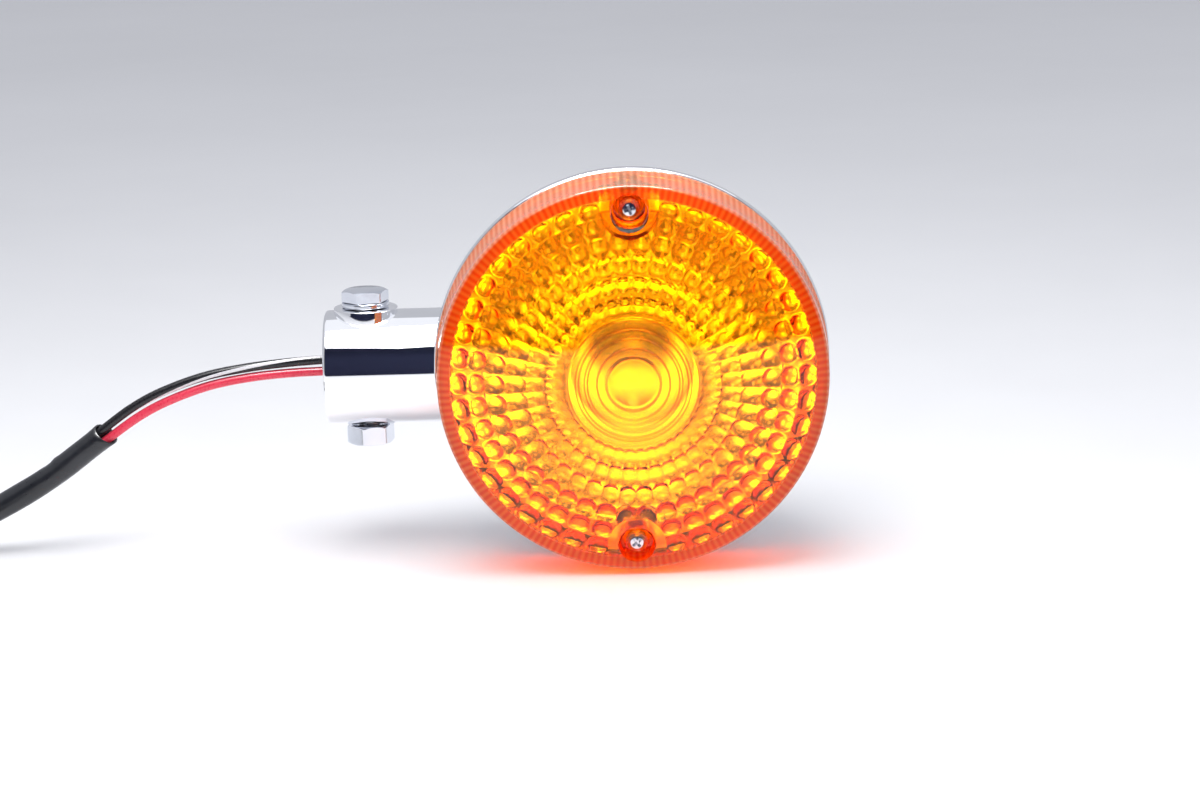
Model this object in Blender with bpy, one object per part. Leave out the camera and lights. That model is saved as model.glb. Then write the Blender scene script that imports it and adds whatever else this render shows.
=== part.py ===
"""Motorcycle turn signal indicator: round amber lens on a chromed die-cast housing with a side stem.

The stem slides over a hollow stalk on the motorcycle and is clamped to it by a cross bolt and nut.
Frame: origin at the centre of the stem's open end, +X from there to the lens axis, -Y the way
the lens faces, +Z up. Everything is in metres.
"""
import math

import bmesh
import bpy
from mathutils import Vector

# ---------------------------------------------------------------- driving dimensions
GAP = 0.0003                 # kept between pieces that touch

LENS_REACH = 0.0734          # stem's open end to the lens axis
LENS_RISE = 0.0020           # lens axis above the stem axis

# Stations along the lens axis, measured forwards from the stem axis.
BOWL_BACK = -0.0350
BOWL_INNER_BACK = -0.0328
SEAT = 0.0135                # shoulder that carries the gasket and the reflector
LIP_FRONT = 0.0147
FLANGE_REAR = 0.0150
RIM_FRONT = 0.0314
DOME_RISE = 0.0056

LIP_R = 0.0469
LIP_INNER_R = 0.0456
BOWL_R = 0.0462
CAVITY_R = 0.0416
FLANGE_R = 0.0465
RIM_R = 0.0455
LENS_WALL = 0.0022

STEM_R = 0.0138
BORE_R = 0.0105
BORE_DEPTH = 0.0262
WEB_HOLE_R = 0.0045

BOLT_INSET = 0.0099          # stem's open end to the cross bolt
BOLT_SHANK_R = 0.0029
BOLT_HOLE_R = 0.0033
BOSS_R = 0.0077
BOSS_FACE = 0.0147           # height of the flat boss above the stem axis
SPOT_FACE = -0.0137          # flat under the stem that the nut bears on
HEX_FLATS = 0.0100
HEAD_THICKNESS = 0.0028
NUT_THICKNESS = 0.0047
WASHER_R = 0.0057
WASHER_THICKNESS = 0.0011
HEX_TURN = math.radians(16)  # one flat's direction, from +X towards the lens side

SCREW_OFFSET = 0.0395        # lens screws above and below the lens axis
SCREW_HEAD_R = 0.0026
SCREW_SHANK_R = 0.00145
SCREW_LENGTH = 0.0247
RECESS_R = 0.0041
RECESS_FLOOR = 0.0274
POCKET_R = 0.0068
POST_R = 0.0032

DISH_RIM_R = 0.0354
DISH_RIM = 0.0143
LAND_R = 0.0160
LAND = -0.0100
LAND_HOLE_R = 0.0089
SHEET = 0.0009               # reflector sheet thickness

SHELL_R = 0.0083
SHELL_INNER_R = 0.0078
SHELL_BACK = -0.0290
SHELL_MOUTH = -0.0040
PLATE_R = 0.0155
FIXING_R = 0.0122            # rivets and ground screw, from the lens axis

BULB_R = 0.0125
BULB_APEX = 0.0270
CAP_R = 0.0075
CAP_BACK = -0.0190
CAP_FRONT = -0.0030
PIN_STATION = -0.0122
PIN_R = 0.0010
PIN_REACH = 0.0085
BULB_PRESS = 0.0025          # how far the bulb is pushed in to free it
BULB_TURN = math.radians(25)

WIRE_R = 0.0011
SLEEVE_R = 0.0030
FLOOR = LENS_RISE - LIP_R    # the surface that the lamp stands on
COIL_R = 0.0330              # middle of the lead's one turn
COIL_X = -0.1160
COIL_Y = -0.0310
SLEEVE_Y = COIL_Y + COIL_R   # the sleeve runs on to the coil along its tangent
CURL_R = 0.0180              # the sleeve's end curls in from the turn
CURL_END = math.radians(110)
BOOT_R = 0.0029
BOOT_LENGTH = 0.0200
BULLET_R = 0.00195
BULLET_LENGTH = 0.0090

# ---------------------------------------------------------------- finishes
# name: (base colour, metallic, roughness, alpha)
FINISHES = {
    "chrome": ((0.86, 0.87, 0.90), 1.0, 0.06, 1.0),
    "amber_plastic": ((1.00, 0.42, 0.02), 0.0, 0.08, 0.75),
    "zinc_plate": ((0.74, 0.77, 0.82), 1.0, 0.25, 1.0),
    "mirror_coating": ((0.92, 0.92, 0.92), 1.0, 0.08, 1.0),
    "brass": ((0.80, 0.62, 0.28), 1.0, 0.30, 1.0),
    "solder": ((0.62, 0.62, 0.64), 1.0, 0.40, 1.0),
    "phenolic": ((0.30, 0.15, 0.07), 0.0, 0.55, 1.0),
    "black_rubber": ((0.02, 0.02, 0.02), 0.0, 0.70, 1.0),
    "clear_glass": ((0.95, 0.97, 0.98), 0.0, 0.02, 0.35),
    "black_glass": ((0.03, 0.03, 0.05), 0.0, 0.15, 1.0),
    "tungsten": ((0.35, 0.35, 0.37), 1.0, 0.45, 1.0),
    "spring_steel": ((0.60, 0.61, 0.63), 1.0, 0.30, 1.0),
    "red_pvc": ((0.72, 0.04, 0.08), 0.0, 0.35, 1.0),
    "black_pvc": ((0.02, 0.02, 0.025), 0.0, 0.35, 1.0),
}


def clear_scene():
    for obj in list(bpy.data.objects):
        bpy.data.objects.remove(obj, do_unlink=True)


def finish(name):
    """The named material, made the first time it is asked for."""
    existing = bpy.data.materials.get(name)
    if existing:
        return existing
    color, metallic, roughness, alpha = FINISHES[name]
    made = bpy.data.materials.new(name)
    made.use_nodes = True
    shader = made.node_tree.nodes["Principled BSDF"]
    shader.inputs["Base Color"].default_value = (*color, 1.0)
    shader.inputs["Metallic"].default_value = metallic
    shader.inputs["Roughness"].default_value = roughness
    shader.inputs["Alpha"].default_value = alpha
    return made


def axis_empty(name, location, rotation=(0.0, 0.0, 0.0)):
    empty = bpy.data.objects.new(name, None)
    empty.location = location
    empty.rotation_euler = rotation
    bpy.context.collection.objects.link(empty)
    return empty


def add_object(name, mesh_tool, material, parent, smooth=True):
    """Turn a bmesh into a linked object with its normals out and its own material slot."""
    bmesh.ops.recalc_face_normals(mesh_tool, faces=mesh_tool.faces)
    mesh = bpy.data.meshes.new(name)
    mesh_tool.to_mesh(mesh)
    mesh_tool.free()
    if smooth:
        mesh.shade_smooth()
        mesh.set_sharp_from_angle(angle=math.radians(35))
    obj = bpy.data.objects.new(name, mesh)
    obj.parent = parent
    bpy.context.collection.objects.link(obj)
    if material:
        mesh.materials.append(finish(material))
    return obj


# ---------------------------------------------------------------- shapes
def turned(name, profile, material, parent, segments=48, smooth=True):
    """A solid of revolution about local Z from a closed outline of (radius, height) points."""
    work = bmesh.new()
    rings = []
    for radius, height in profile:
        if radius < 1e-7:
            rings.append([work.verts.new((0.0, 0.0, height))])
            continue
        ring = []
        for step in range(segments):
            angle = 2 * math.pi * (step + 0.5) / segments
            ring.append(work.verts.new((radius * math.cos(angle), radius * math.sin(angle), height)))
        rings.append(ring)
    for index, ring in enumerate(rings):
        following = rings[(index + 1) % len(rings)]
        if len(ring) == 1 and len(following) == 1:
            continue
        for step in range(segments):
            nxt = (step + 1) % segments
            if len(ring) == 1:
                work.faces.new((ring[0], following[step], following[nxt]))
            elif len(following) == 1:
                work.faces.new((ring[step], ring[nxt], following[0]))
            else:
                work.faces.new((ring[step], ring[nxt], following[nxt], following[step]))
    return add_object(name, work, material, parent, smooth)


def rod(name, radius, low, high, material, parent, segments=32):
    """A plain cylinder along local Z."""
    profile = [(0.0, high), (radius, high), (radius, low), (0.0, low)]
    return turned(name, profile, material, parent, segments)


def ring(name, inner, outer, low, high, material, parent, segments=48):
    """A flat ring or tube along local Z."""
    profile = [(inner, high), (outer, high), (outer, low), (inner, low)]
    return turned(name, profile, material, parent, segments)


def prism(name, outline, low, high, material, parent):
    """A straight extrusion of an outline of (x, y) points, along local Z."""
    work = bmesh.new()
    face = work.faces.new([work.verts.new((x, y, low)) for x, y in outline])
    grown = bmesh.ops.extrude_face_region(work, geom=[face])
    moved = [item for item in grown["geom"] if isinstance(item, bmesh.types.BMVert)]
    bmesh.ops.translate(work, vec=(0.0, 0.0, high - low), verts=moved)
    return add_object(name, work, material, parent, smooth=False)


def box(name, low, high, material, parent):
    outline = [(low[0], low[1]), (high[0], low[1]), (high[0], high[1]), (low[0], high[1])]
    return prism(name, outline, low[2], high[2], material, parent)


def smooth_route(points, spacing):
    """Points at even spacing along a Catmull-Rom curve through the given points."""
    knots = [Vector(point) for point in points]
    knots = [2 * knots[0] - knots[1]] + knots + [2 * knots[-1] - knots[-2]]
    fine = []
    for before, start, end, after in zip(knots, knots[1:], knots[2:], knots[3:]):
        for step in range(24):
            t = step / 24
            fine.append(0.5 * (2 * start + (end - before) * t
                               + (2 * before - 5 * start + 4 * end - after) * t ** 2
                               + (3 * start - before - 3 * end + after) * t ** 3))
    fine.append(knots[-2])
    lengths = [0.0]
    for start, end in zip(fine, fine[1:]):
        lengths.append(lengths[-1] + (end - start).length)
    count = max(2, round(lengths[-1] / spacing))
    evened, index = [], 0
    for step in range(count + 1):
        wanted = lengths[-1] * step / count
        while index < len(lengths) - 2 and lengths[index + 1] < wanted:
            index += 1
        share = (wanted - lengths[index]) / (lengths[index + 1] - lengths[index])
        evened.append(fine[index].lerp(fine[index + 1], share))
    return evened


def tube(name, points, radius, material, parent=None, resolution=2):
    """A round solid along a list of points."""
    curve = bpy.data.curves.new(name, "CURVE")
    curve.dimensions = "3D"
    curve.bevel_depth = radius
    curve.bevel_resolution = resolution
    curve.use_fill_caps = True
    spline = curve.splines.new("POLY")
    spline.points.add(len(points) - 1)
    for slot, point in zip(spline.points, points):
        slot.co = (*point, 1.0)
    spline.use_smooth = True
    curve.materials.append(finish(material))
    obj = bpy.data.objects.new(name, curve)
    obj.parent = parent
    bpy.context.collection.objects.link(obj)
    return obj


def apply_boolean(target, tool, operation):
    """Join the tool to the target or cut it away, and keep the tool as a guide only."""
    modifier = target.modifiers.new(operation.title() + " " + tool.name, "BOOLEAN")
    modifier.operation = operation
    modifier.solver = "EXACT"
    modifier.object = tool
    tool.hide_render = True
    tool.display_type = "WIRE"


def cut(target, tool):
    apply_boolean(target, tool, "DIFFERENCE")


def join(target, tool):
    apply_boolean(target, tool, "UNION")


def arc(centre_r, centre_h, radius, start, end, steps):
    """Outline points on a circular arc; angles in degrees, 0 outwards and 90 forwards."""
    points = []
    for step in range(steps + 1):
        angle = math.radians(start + (end - start) * step / steps)
        points.append((centre_r + radius * math.cos(angle), centre_h + radius * math.sin(angle)))
    return points


def bowl_curve(rim_r, rim, back, power, steps):
    """Quarter of a full, rounded bowl from its rim to the middle of its back."""
    points = []
    for step in range(steps + 1):
        angle = 0.5 * math.pi * step / steps
        radius = rim_r * math.cos(angle) ** (2 / power) if step < steps else 0.0
        points.append((radius, rim + (back - rim) * math.sin(angle) ** (2 / power)))
    return points


def dome_height(radius, rim_r, rim, rise):
    """Height of the lens's gently domed face at a radius."""
    return rim + rise * (1 - (radius / rim_r) ** 2)


# ---------------------------------------------------------------- housing
def make_housing(lens_axis, stem_axis, bolt_axis):
    lip_roll = arc(LIP_R - 0.0008, LIP_FRONT - 0.0008, 0.0008, 90, 0, 2)
    outline = [(0.0, LIP_FRONT)] + lip_roll
    outline += [(LIP_R, LIP_FRONT - 0.0022), (BOWL_R, LIP_FRONT - 0.0027)]
    outline += bowl_curve(BOWL_R, LIP_FRONT - 0.0028, BOWL_BACK, 2.15, 9)[1:]
    housing = turned("housing", outline, "chrome", lens_axis, 48)

    edge = 0.0007
    stem_outline = [(0.0, 0.0), (STEM_R - edge, 0.0)] + arc(STEM_R - edge, edge, edge, -90, 0, 2)[1:]
    stem_outline += [(STEM_R, 0.0420), (0.0, 0.0420)]
    join(housing, turned("stem_tube", stem_outline, None, stem_axis, 40))
    chamfer, boss_root = 0.0002, 0.0115
    boss = [(0.0, BOSS_FACE), (BOSS_R - chamfer, BOSS_FACE), (BOSS_R, BOSS_FACE - chamfer),
            (BOSS_R, boss_root), (0.0, boss_root)]
    join(housing, turned("bolt_boss", boss, None, bolt_axis, 32))

    cavity = [(0.0, LIP_FRONT + 0.001), (LIP_INNER_R, LIP_FRONT + 0.001), (LIP_INNER_R, SEAT)]
    cavity += bowl_curve(CAVITY_R, SEAT, BOWL_INNER_BACK, 2.25, 8)
    cavity_tool = turned("bowl_cavity", cavity, None, lens_axis, 48)
    for name, height in (("upper", SCREW_OFFSET), ("lower", -SCREW_OFFSET)):
        post = rod("screw_post_" + name, POST_R, BOWL_BACK, SEAT, None, lens_axis, 16)
        post.location = (0.0, height, 0.0)
        cut(cavity_tool, post)
    cut(housing, cavity_tool)

    cut(housing, rod("stem_bore", BORE_R, -0.001, BORE_DEPTH, None, stem_axis, 36))
    cut(housing, rod("web_hole", WEB_HOLE_R, BORE_DEPTH - 0.001, 0.0400, None, stem_axis, 20))
    cut(housing, rod("cross_hole", BOLT_HOLE_R, -0.0200, 0.0200, None, bolt_axis, 20))
    cut(housing, rod("spot_face", 0.0064, -0.0160, SPOT_FACE, None, bolt_axis, 24))
    for name, height in (("upper", SCREW_OFFSET), ("lower", -SCREW_OFFSET)):
        pilot = rod("pilot_hole_" + name, SCREW_SHANK_R + GAP, 0.0020, SEAT + 0.001, None, lens_axis, 12)
        pilot.location = (0.0, height, 0.0)
        cut(housing, pilot)
    return housing


# ---------------------------------------------------------------- lens and its fixings
def pocket_outline(side):
    """U-shaped block round a screw recess: round towards the lens's middle, open at its rim."""
    points = [(POCKET_R, side * (FLANGE_R + 0.002))]
    steps = 12
    for step in range(steps + 1):
        angle = math.pi * step / steps
        points.append((POCKET_R * math.cos(angle), side * (SCREW_OFFSET - POCKET_R * math.sin(angle))))
    points.append((-POCKET_R, side * (FLANGE_R + 0.002)))
    return points


def make_lens(lens_axis):
    fillet = 0.0009
    rim_arc = arc(RIM_R - fillet, RIM_FRONT - fillet, fillet, 80, 0, 2)
    face = []
    for step in range(6):
        radius = (RIM_R - fillet) * step / 5
        face.append((radius, dome_height(radius, RIM_R, RIM_FRONT, DOME_RISE)))
    outline = face[:-1] + rim_arc
    outline += [(FLANGE_R - 0.0002, FLANGE_REAR + 0.0015), (FLANGE_R, FLANGE_REAR + 0.0010),
                (FLANGE_R, FLANGE_REAR), (0.0, FLANGE_REAR)]
    lens = turned("lens", outline, "amber_plastic", lens_axis, 56)

    inner_r = RIM_R - LENS_WALL
    inside = []
    for step in range(5):
        radius = (inner_r - 0.0010) * step / 4
        inside.append((radius, dome_height(radius, inner_r, RIM_FRONT - LENS_WALL, DOME_RISE)))
    inside += [(inner_r, RIM_FRONT - LENS_WALL - 0.0009), (FLANGE_R - LENS_WALL - 0.0002, FLANGE_REAR - 0.001),
               (0.0, FLANGE_REAR - 0.001)]
    hollow = turned("lens_hollow", inside, None, lens_axis, 56)
    for name, side in (("upper", 1), ("lower", -1)):
        pocket = prism("lens_pocket_" + name, pocket_outline(side), RECESS_FLOOR - LENS_WALL, 0.0400,
                       None, lens_axis)
        cut(hollow, pocket)
        post = rod("lens_post_" + name, 0.0045, FLANGE_REAR - 0.002, RECESS_FLOOR, None, lens_axis, 16)
        post.location = (0.0, side * SCREW_OFFSET, 0.0)
        cut(hollow, post)
    for name, side in (("upper", 1), ("lower", -1)):
        hole_r = SCREW_SHANK_R + 0.0004
        screw_way = [(0.0, 0.0400), (RECESS_R, 0.0400), (RECESS_R, RECESS_FLOOR), (hole_r, RECESS_FLOOR),
                     (hole_r, FLANGE_REAR - 0.002), (0.0, FLANGE_REAR - 0.002)]
        recess = turned("lens_recess_" + name, screw_way, None, lens_axis, 24)
        recess.location = (0.0, side * SCREW_OFFSET, 0.0)
        cut(lens, recess)
    cut(lens, hollow)
    return lens


def make_lens_screw(name, height, lens_axis):
    head_seat = RECESS_FLOOR + GAP
    head = [(0.0, head_seat + 0.0022), (0.0012, head_seat + 0.0021), (0.0021, head_seat + 0.0016),
            (SCREW_HEAD_R, head_seat + 0.0008), (SCREW_HEAD_R, head_seat), (SCREW_SHANK_R, head_seat)]
    shank_end = head_seat - SCREW_LENGTH
    shank = [(SCREW_SHANK_R, shank_end + 0.0005), (SCREW_SHANK_R - 0.0005, shank_end), (0.0, shank_end)]
    screw = turned(name, head + shank, "zinc_plate", lens_axis, 16)
    screw.location = (0.0, height, 0.0)
    arm, reach = 0.00033, 0.0014
    top, bottom = head_seat + 0.0030, head_seat + 0.0010
    cross = [(arm, arm), (arm, reach), (-arm, reach), (-arm, arm), (-reach, arm), (-reach, -arm),
             (-arm, -arm), (-arm, -reach), (arm, -reach), (arm, -arm), (reach, -arm), (reach, arm)]
    slot = prism(name + "_cross", cross, bottom, top, None, lens_axis)
    slot.location = (0.0, height, 0.0)
    cut(screw, slot)
    return screw


# ---------------------------------------------------------------- reflector and bulb holder
# Rivets and ground screw that hold the socket plate to the reflector, from the lens axis.
FIXINGS = {
    "left": (-FIXING_R, 0.0, 0.0),
    "right": (FIXING_R, 0.0, 0.0),
    "ground": (0.0, -FIXING_R, 0.0),
}


def make_reflector(lens_axis):
    focal = (DISH_RIM - LAND) / (DISH_RIM_R ** 2 - LAND_R ** 2)
    base = LAND - focal * LAND_R ** 2
    front, back = [], []
    for step in range(6):
        radius = LAND_R + (DISH_RIM_R - LAND_R) * step / 5
        height = focal * radius ** 2 + base
        slope = 2 * focal * radius
        length = math.hypot(slope, 1.0)
        front.append((radius, height))
        back.append((radius + SHEET * slope / length, height - SHEET / length))
    flange_r = LIP_INNER_R - 0.0028
    outline = [(LAND_HOLE_R, LAND)] + front
    outline += [(DISH_RIM_R + 0.0006, LIP_FRONT), (flange_r, LIP_FRONT), (flange_r, SEAT + GAP)]
    outline += [(DISH_RIM_R + 0.0013, SEAT + GAP)]
    outline += list(reversed(back[1:-1]))
    outline += [(LAND_R + 0.0002, LAND - SHEET), (LAND_HOLE_R, LAND - SHEET)]
    reflector = turned("reflector", outline, "mirror_coating", lens_axis, 44)
    for name, height in (("upper", SCREW_OFFSET), ("lower", -SCREW_OFFSET)):
        hole = rod("reflector_hole_" + name, SCREW_SHANK_R + 0.0005, SEAT - 0.001, LIP_FRONT + 0.001,
                   None, lens_axis, 12)
        hole.location = (0.0, height, 0.0)
        cut(reflector, hole)
    for name, place in FIXINGS.items():
        hole = rod("land_hole_" + name, 0.0015, LAND - 0.002, LAND + 0.001, None, lens_axis, 12)
        hole.location = place
        cut(reflector, hole)
    return reflector


def make_socket(lens_axis):
    """The bayonet holder behind the reflector, with the contact that the bulb pushes on."""
    plate_front = LAND - SHEET - GAP
    plate_back = plate_front - 0.0010
    plate = ring("socket_plate", SHELL_R + GAP, PLATE_R, plate_back, plate_front, "zinc_plate", lens_axis, 32)
    for name, place in FIXINGS.items():
        hole = rod("plate_hole_" + name, 0.0015, plate_back - 0.001, plate_front + 0.001, None, lens_axis, 12)
        hole.location = place
        cut(plate, hole)

    for name in ("left", "right"):
        head, shank = 0.0021, 0.0012
        rivet = turned("socket_rivet_" + name, [
            (0.0, LAND + 0.0013), (head * 0.7, LAND + 0.0010), (head, LAND + GAP), (shank, LAND + GAP),
            (shank, plate_back - GAP), (head, plate_back - GAP), (head * 0.8, plate_back - 0.0009),
            (0.0, plate_back - 0.0011)], "zinc_plate", lens_axis, 16)
        rivet.location = FIXINGS[name]

    terminal_back = plate_back - GAP - 0.0008
    terminal = ring("ground_terminal", 0.0015, 0.0029, terminal_back, plate_back - GAP,
                    "brass", lens_axis, 20)
    terminal.location = FIXINGS["ground"]
    screw = turned("ground_screw", [
        (0.0, LAND + 0.0003), (0.0012, LAND + 0.0003), (0.0012, terminal_back - GAP),
        (0.0026, terminal_back - GAP), (0.0026, terminal_back - 0.0012), (0.0018, terminal_back - 0.0018),
        (0.0, terminal_back - 0.0020)], "zinc_plate", lens_axis, 20)
    screw.location = FIXINGS["ground"]

    shell = turned("socket_shell", [
        (SHELL_INNER_R, SHELL_MOUTH), (SHELL_R, SHELL_MOUTH), (SHELL_R, SHELL_BACK),
        (0.0066, SHELL_BACK), (0.0066, SHELL_BACK + 0.0005), (SHELL_INNER_R, SHELL_BACK + 0.0005)],
        "zinc_plate", lens_axis, 36)
    for index in range(2):
        cut(shell, bayonet_slot("bayonet_slot_%d" % (index + 1), index * math.pi, lens_axis))

    insulator_back = SHELL_BACK + 0.0005 + GAP
    ring("socket_insulator", 0.0015, SHELL_INNER_R - GAP, insulator_back, insulator_back + 0.0012,
         "phenolic", lens_axis, 28)


def bayonet_slot(name, turn, lens_axis):
    """Cutter for the ramped L slot that a bulb pin drops down, turns along and springs up into."""
    half = 0.00130
    channel = SHELL_R * BULB_TURN
    low = PIN_STATION - BULB_PRESS
    tooth = PIN_STATION + 0.0006
    outline = [(channel + half, SHELL_MOUTH + 0.002), (channel + half, low - half),
               (channel - 0.4 * half, low - half), (-half, PIN_STATION - half), (-half, PIN_STATION + half),
               (half, PIN_STATION + half), (half, tooth), (channel - half, tooth - 0.0008),
               (channel - half, SHELL_MOUTH + 0.002)]
    work = bmesh.new()
    layers = []
    for radius in (SHELL_INNER_R - 0.0010, SHELL_R + 0.0010):
        layer = []
        for along, height in outline:
            angle = turn + along / SHELL_R
            layer.append(work.verts.new((radius * math.cos(angle), radius * math.sin(angle), height)))
        layers.append(layer)
    work.faces.new(layers[0])
    work.faces.new(layers[1])
    for index in range(len(outline)):
        nxt = (index + 1) % len(outline)
        work.faces.new((layers[0][index], layers[0][nxt], layers[1][nxt], layers[1][index]))
    bmesh.ops.triangulate(work, faces=work.faces[:])
    return add_object(name, work, None, lens_axis, smooth=False)


def make_contact(plunger_axis):
    """Sliding contact: an insulating disc with a brass button, pushed forwards by a coil spring."""
    button_front = CAP_BACK - 0.0024 - GAP
    disc_front = button_front - 0.0007
    disc_back = disc_front - 0.0014
    ring("contact_plunger", 0.0012, SHELL_INNER_R - GAP, disc_back, disc_front, "phenolic", plunger_axis, 28)
    turned("contact_button", [
        (0.0, button_front), (0.0016, button_front - 0.0001), (0.0019, disc_front + GAP),
        (0.0009, disc_front + GAP), (0.0009, disc_back - 0.0006), (0.0, disc_back - 0.0006)],
        "brass", plunger_axis, 20)
    return disc_back


def make_spring(lens_axis, front):
    """The coil spring between the insulator and the sliding contact, at rest."""
    wire_r, coil_r, turns = 0.00035, 0.0052, 2.5
    back = SHELL_BACK + 0.0005 + GAP + 0.0012
    low = back + GAP + wire_r
    high = front - GAP - wire_r
    points = []
    steps = 40
    for step in range(steps + 1):
        angle = 2 * math.pi * turns * step / steps
        points.append((coil_r * math.cos(angle), coil_r * math.sin(angle), low + (high - low) * step / steps))
    tube("contact_spring", points, wire_r, "spring_steel", lens_axis, 1)


def make_bulb(bulb_axis):
    wall = 0.0007
    neck_r = CAP_R - 0.0004 - GAP - 0.0001
    neck_back = CAP_FRONT - 0.0060
    centre = BULB_APEX - BULB_R
    outer = [(neck_r, neck_back), (neck_r, CAP_FRONT + 0.0008), (0.0085, 0.0010), (0.0110, 0.0060)]
    outer += arc(0.0, centre, BULB_R, -16, 90, 6)
    inner = [(neck_r - wall, neck_back), (neck_r - wall, CAP_FRONT + 0.0008), (0.0078, 0.0012),
             (0.0103, 0.0061)]
    inner += arc(0.0, centre, BULB_R - wall, -16, 90, 6)
    outline = outer[:-1] + [(0.0, BULB_APEX), (0.0, BULB_APEX - wall)] + list(reversed(inner[:-1]))
    turned("bulb_glass", outline, "clear_glass", bulb_axis, 24)

    cap = turned("bulb_cap", [
        (CAP_R - 0.0004, CAP_FRONT), (CAP_R, CAP_FRONT), (CAP_R, CAP_BACK + 0.0006), (CAP_R - 0.0006, CAP_BACK),
        (0.0056, CAP_BACK), (0.0056, CAP_BACK + 0.0005), (CAP_R - 0.0007, CAP_BACK + 0.0007)],
        "brass", bulb_axis, 28)
    for index, side in enumerate((1, -1)):
        pin = rod("bulb_pin_%d" % (index + 1), PIN_R, CAP_R - 0.0003, PIN_REACH, None, bulb_axis, 12)
        pin.location = (0.0, 0.0, PIN_STATION)
        pin.rotation_euler = (0.0, side * math.pi / 2, 0.0)
        join(cap, pin)

    turned("bulb_insulator", [
        (0.0, CAP_BACK + 0.0024), (CAP_R - 0.0014, CAP_BACK + 0.0024), (CAP_R - 0.0014, CAP_BACK + 0.0009),
        (0.0053, CAP_BACK + 0.0007), (0.0053, CAP_BACK - 0.0003), (0.0030, CAP_BACK - 0.0010),
        (0.0, CAP_BACK - 0.0010)], "black_glass", bulb_axis, 20)
    turned("bulb_contact", [
        (0.0, CAP_BACK - 0.0010 - GAP), (0.0022, CAP_BACK - 0.0010 - GAP), (0.0020, CAP_BACK - 0.0019),
        (0.0012, CAP_BACK - 0.0023), (0.0, CAP_BACK - 0.0024)], "solder", bulb_axis, 20)

    press_top = 0.0050
    turned("bulb_stem", [
        (0.0, press_top), (0.0036, press_top), (0.0042, press_top - 0.0020), (0.0045, CAP_FRONT - 0.0010),
        (0.0052, CAP_FRONT - 0.0060), (0.0, CAP_FRONT - 0.0060)], "clear_glass", bulb_axis, 16)
    filament, spread, lead_r = 0.0130, 0.0030, 0.0003
    for name, side in (("left", -1), ("right", 1)):
        rise = [(side * 0.0020, 0.0, press_top + GAP), (side * 0.0022, 0.0, 0.0085),
                (side * spread, 0.0, filament - 0.0012), (side * spread, 0.0, filament)]
        tube("bulb_lead_" + name, rise, lead_r, "tungsten", bulb_axis, 1)
    inner_end = spread - lead_r - GAP
    span = [(-inner_end, 0.0, filament - 0.0004), (-0.4 * inner_end, 0.0, filament),
            (0.4 * inner_end, 0.0, filament), (inner_end, 0.0, filament - 0.0004)]
    tube("bulb_filament", span, 0.0004, "tungsten", bulb_axis, 1)


# ---------------------------------------------------------------- clamp bolt, washer and nut
def hexagon(name, low, high, chamfer_low, chamfer_high, material, parent):
    """A hexagonal prism whose chamfered ends are cut by cones, as on a bolt head or a nut."""
    corner = HEX_FLATS / math.sqrt(3)
    outline = []
    for index in range(6):
        angle = -HEX_TURN + math.radians(30 + 60 * index)
        outline.append((corner * math.cos(angle), corner * math.sin(angle)))
    hexa = prism(name, outline, low, high, material, parent)
    cone_drop = 0.0006
    face_r = HEX_FLATS / 2 * 0.97
    wide = face_r + cone_drop / math.tan(math.radians(30))
    top = high if chamfer_high else high + 0.0001
    bottom = low if chamfer_low else low - 0.0001
    envelope = [(0.0, top)]
    if chamfer_high:
        envelope.append((face_r, top))
    envelope.append((wide, high - cone_drop if chamfer_high else top))
    envelope.append((wide, low + cone_drop if chamfer_low else bottom))
    if chamfer_low:
        envelope.append((face_r, bottom))
    envelope.append((0.0, bottom))
    apply_boolean(hexa, turned(name + "_envelope", envelope, None, parent, 36), "INTERSECT")
    return hexa


def make_clamp(washer_axis, bolt_turn_axis, bolt_axis):
    washer_low = BOSS_FACE + GAP
    washer_high = washer_low + WASHER_THICKNESS
    washer = ring("clamp_spring_washer", 0.0032, WASHER_R, washer_low, washer_high,
                  "zinc_plate", washer_axis, 32)
    split = box("washer_split", (-0.00035, -0.0080, washer_low - 0.001), (0.00035, 0.0, washer_high + 0.001),
                None, washer_axis)
    split.rotation_euler = (0.0, math.radians(20), 0.0)
    split.location = (-0.0055, 0.0, 0.0)
    cut(washer, split)

    head_low = washer_high + 0.0001
    bolt = hexagon("clamp_bolt", head_low, head_low + HEAD_THICKNESS, False, True,
                   "zinc_plate", bolt_turn_axis)
    nut_high = SPOT_FACE - GAP
    nut_low = nut_high - NUT_THICKNESS
    tip = nut_low - 0.0004
    shank = [(0.0, head_low + 0.0010), (BOLT_SHANK_R, head_low + 0.0010), (BOLT_SHANK_R, tip + 0.0006),
             (BOLT_SHANK_R - 0.0006, tip), (0.0, tip)]
    join(bolt, turned("clamp_bolt_shank", shank, None, bolt_turn_axis, 28))

    nut = hexagon("clamp_nut", nut_low, nut_high, True, True, "zinc_plate", bolt_axis)
    cut(nut, rod("nut_bore", BOLT_SHANK_R + 0.0001, nut_low - 0.001, nut_high + 0.001, None, bolt_axis, 28))


# ---------------------------------------------------------------- wiring
GROMMET_OUTER = BORE_DEPTH - 0.0018
GROMMET_INNER = 0.0342

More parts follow.
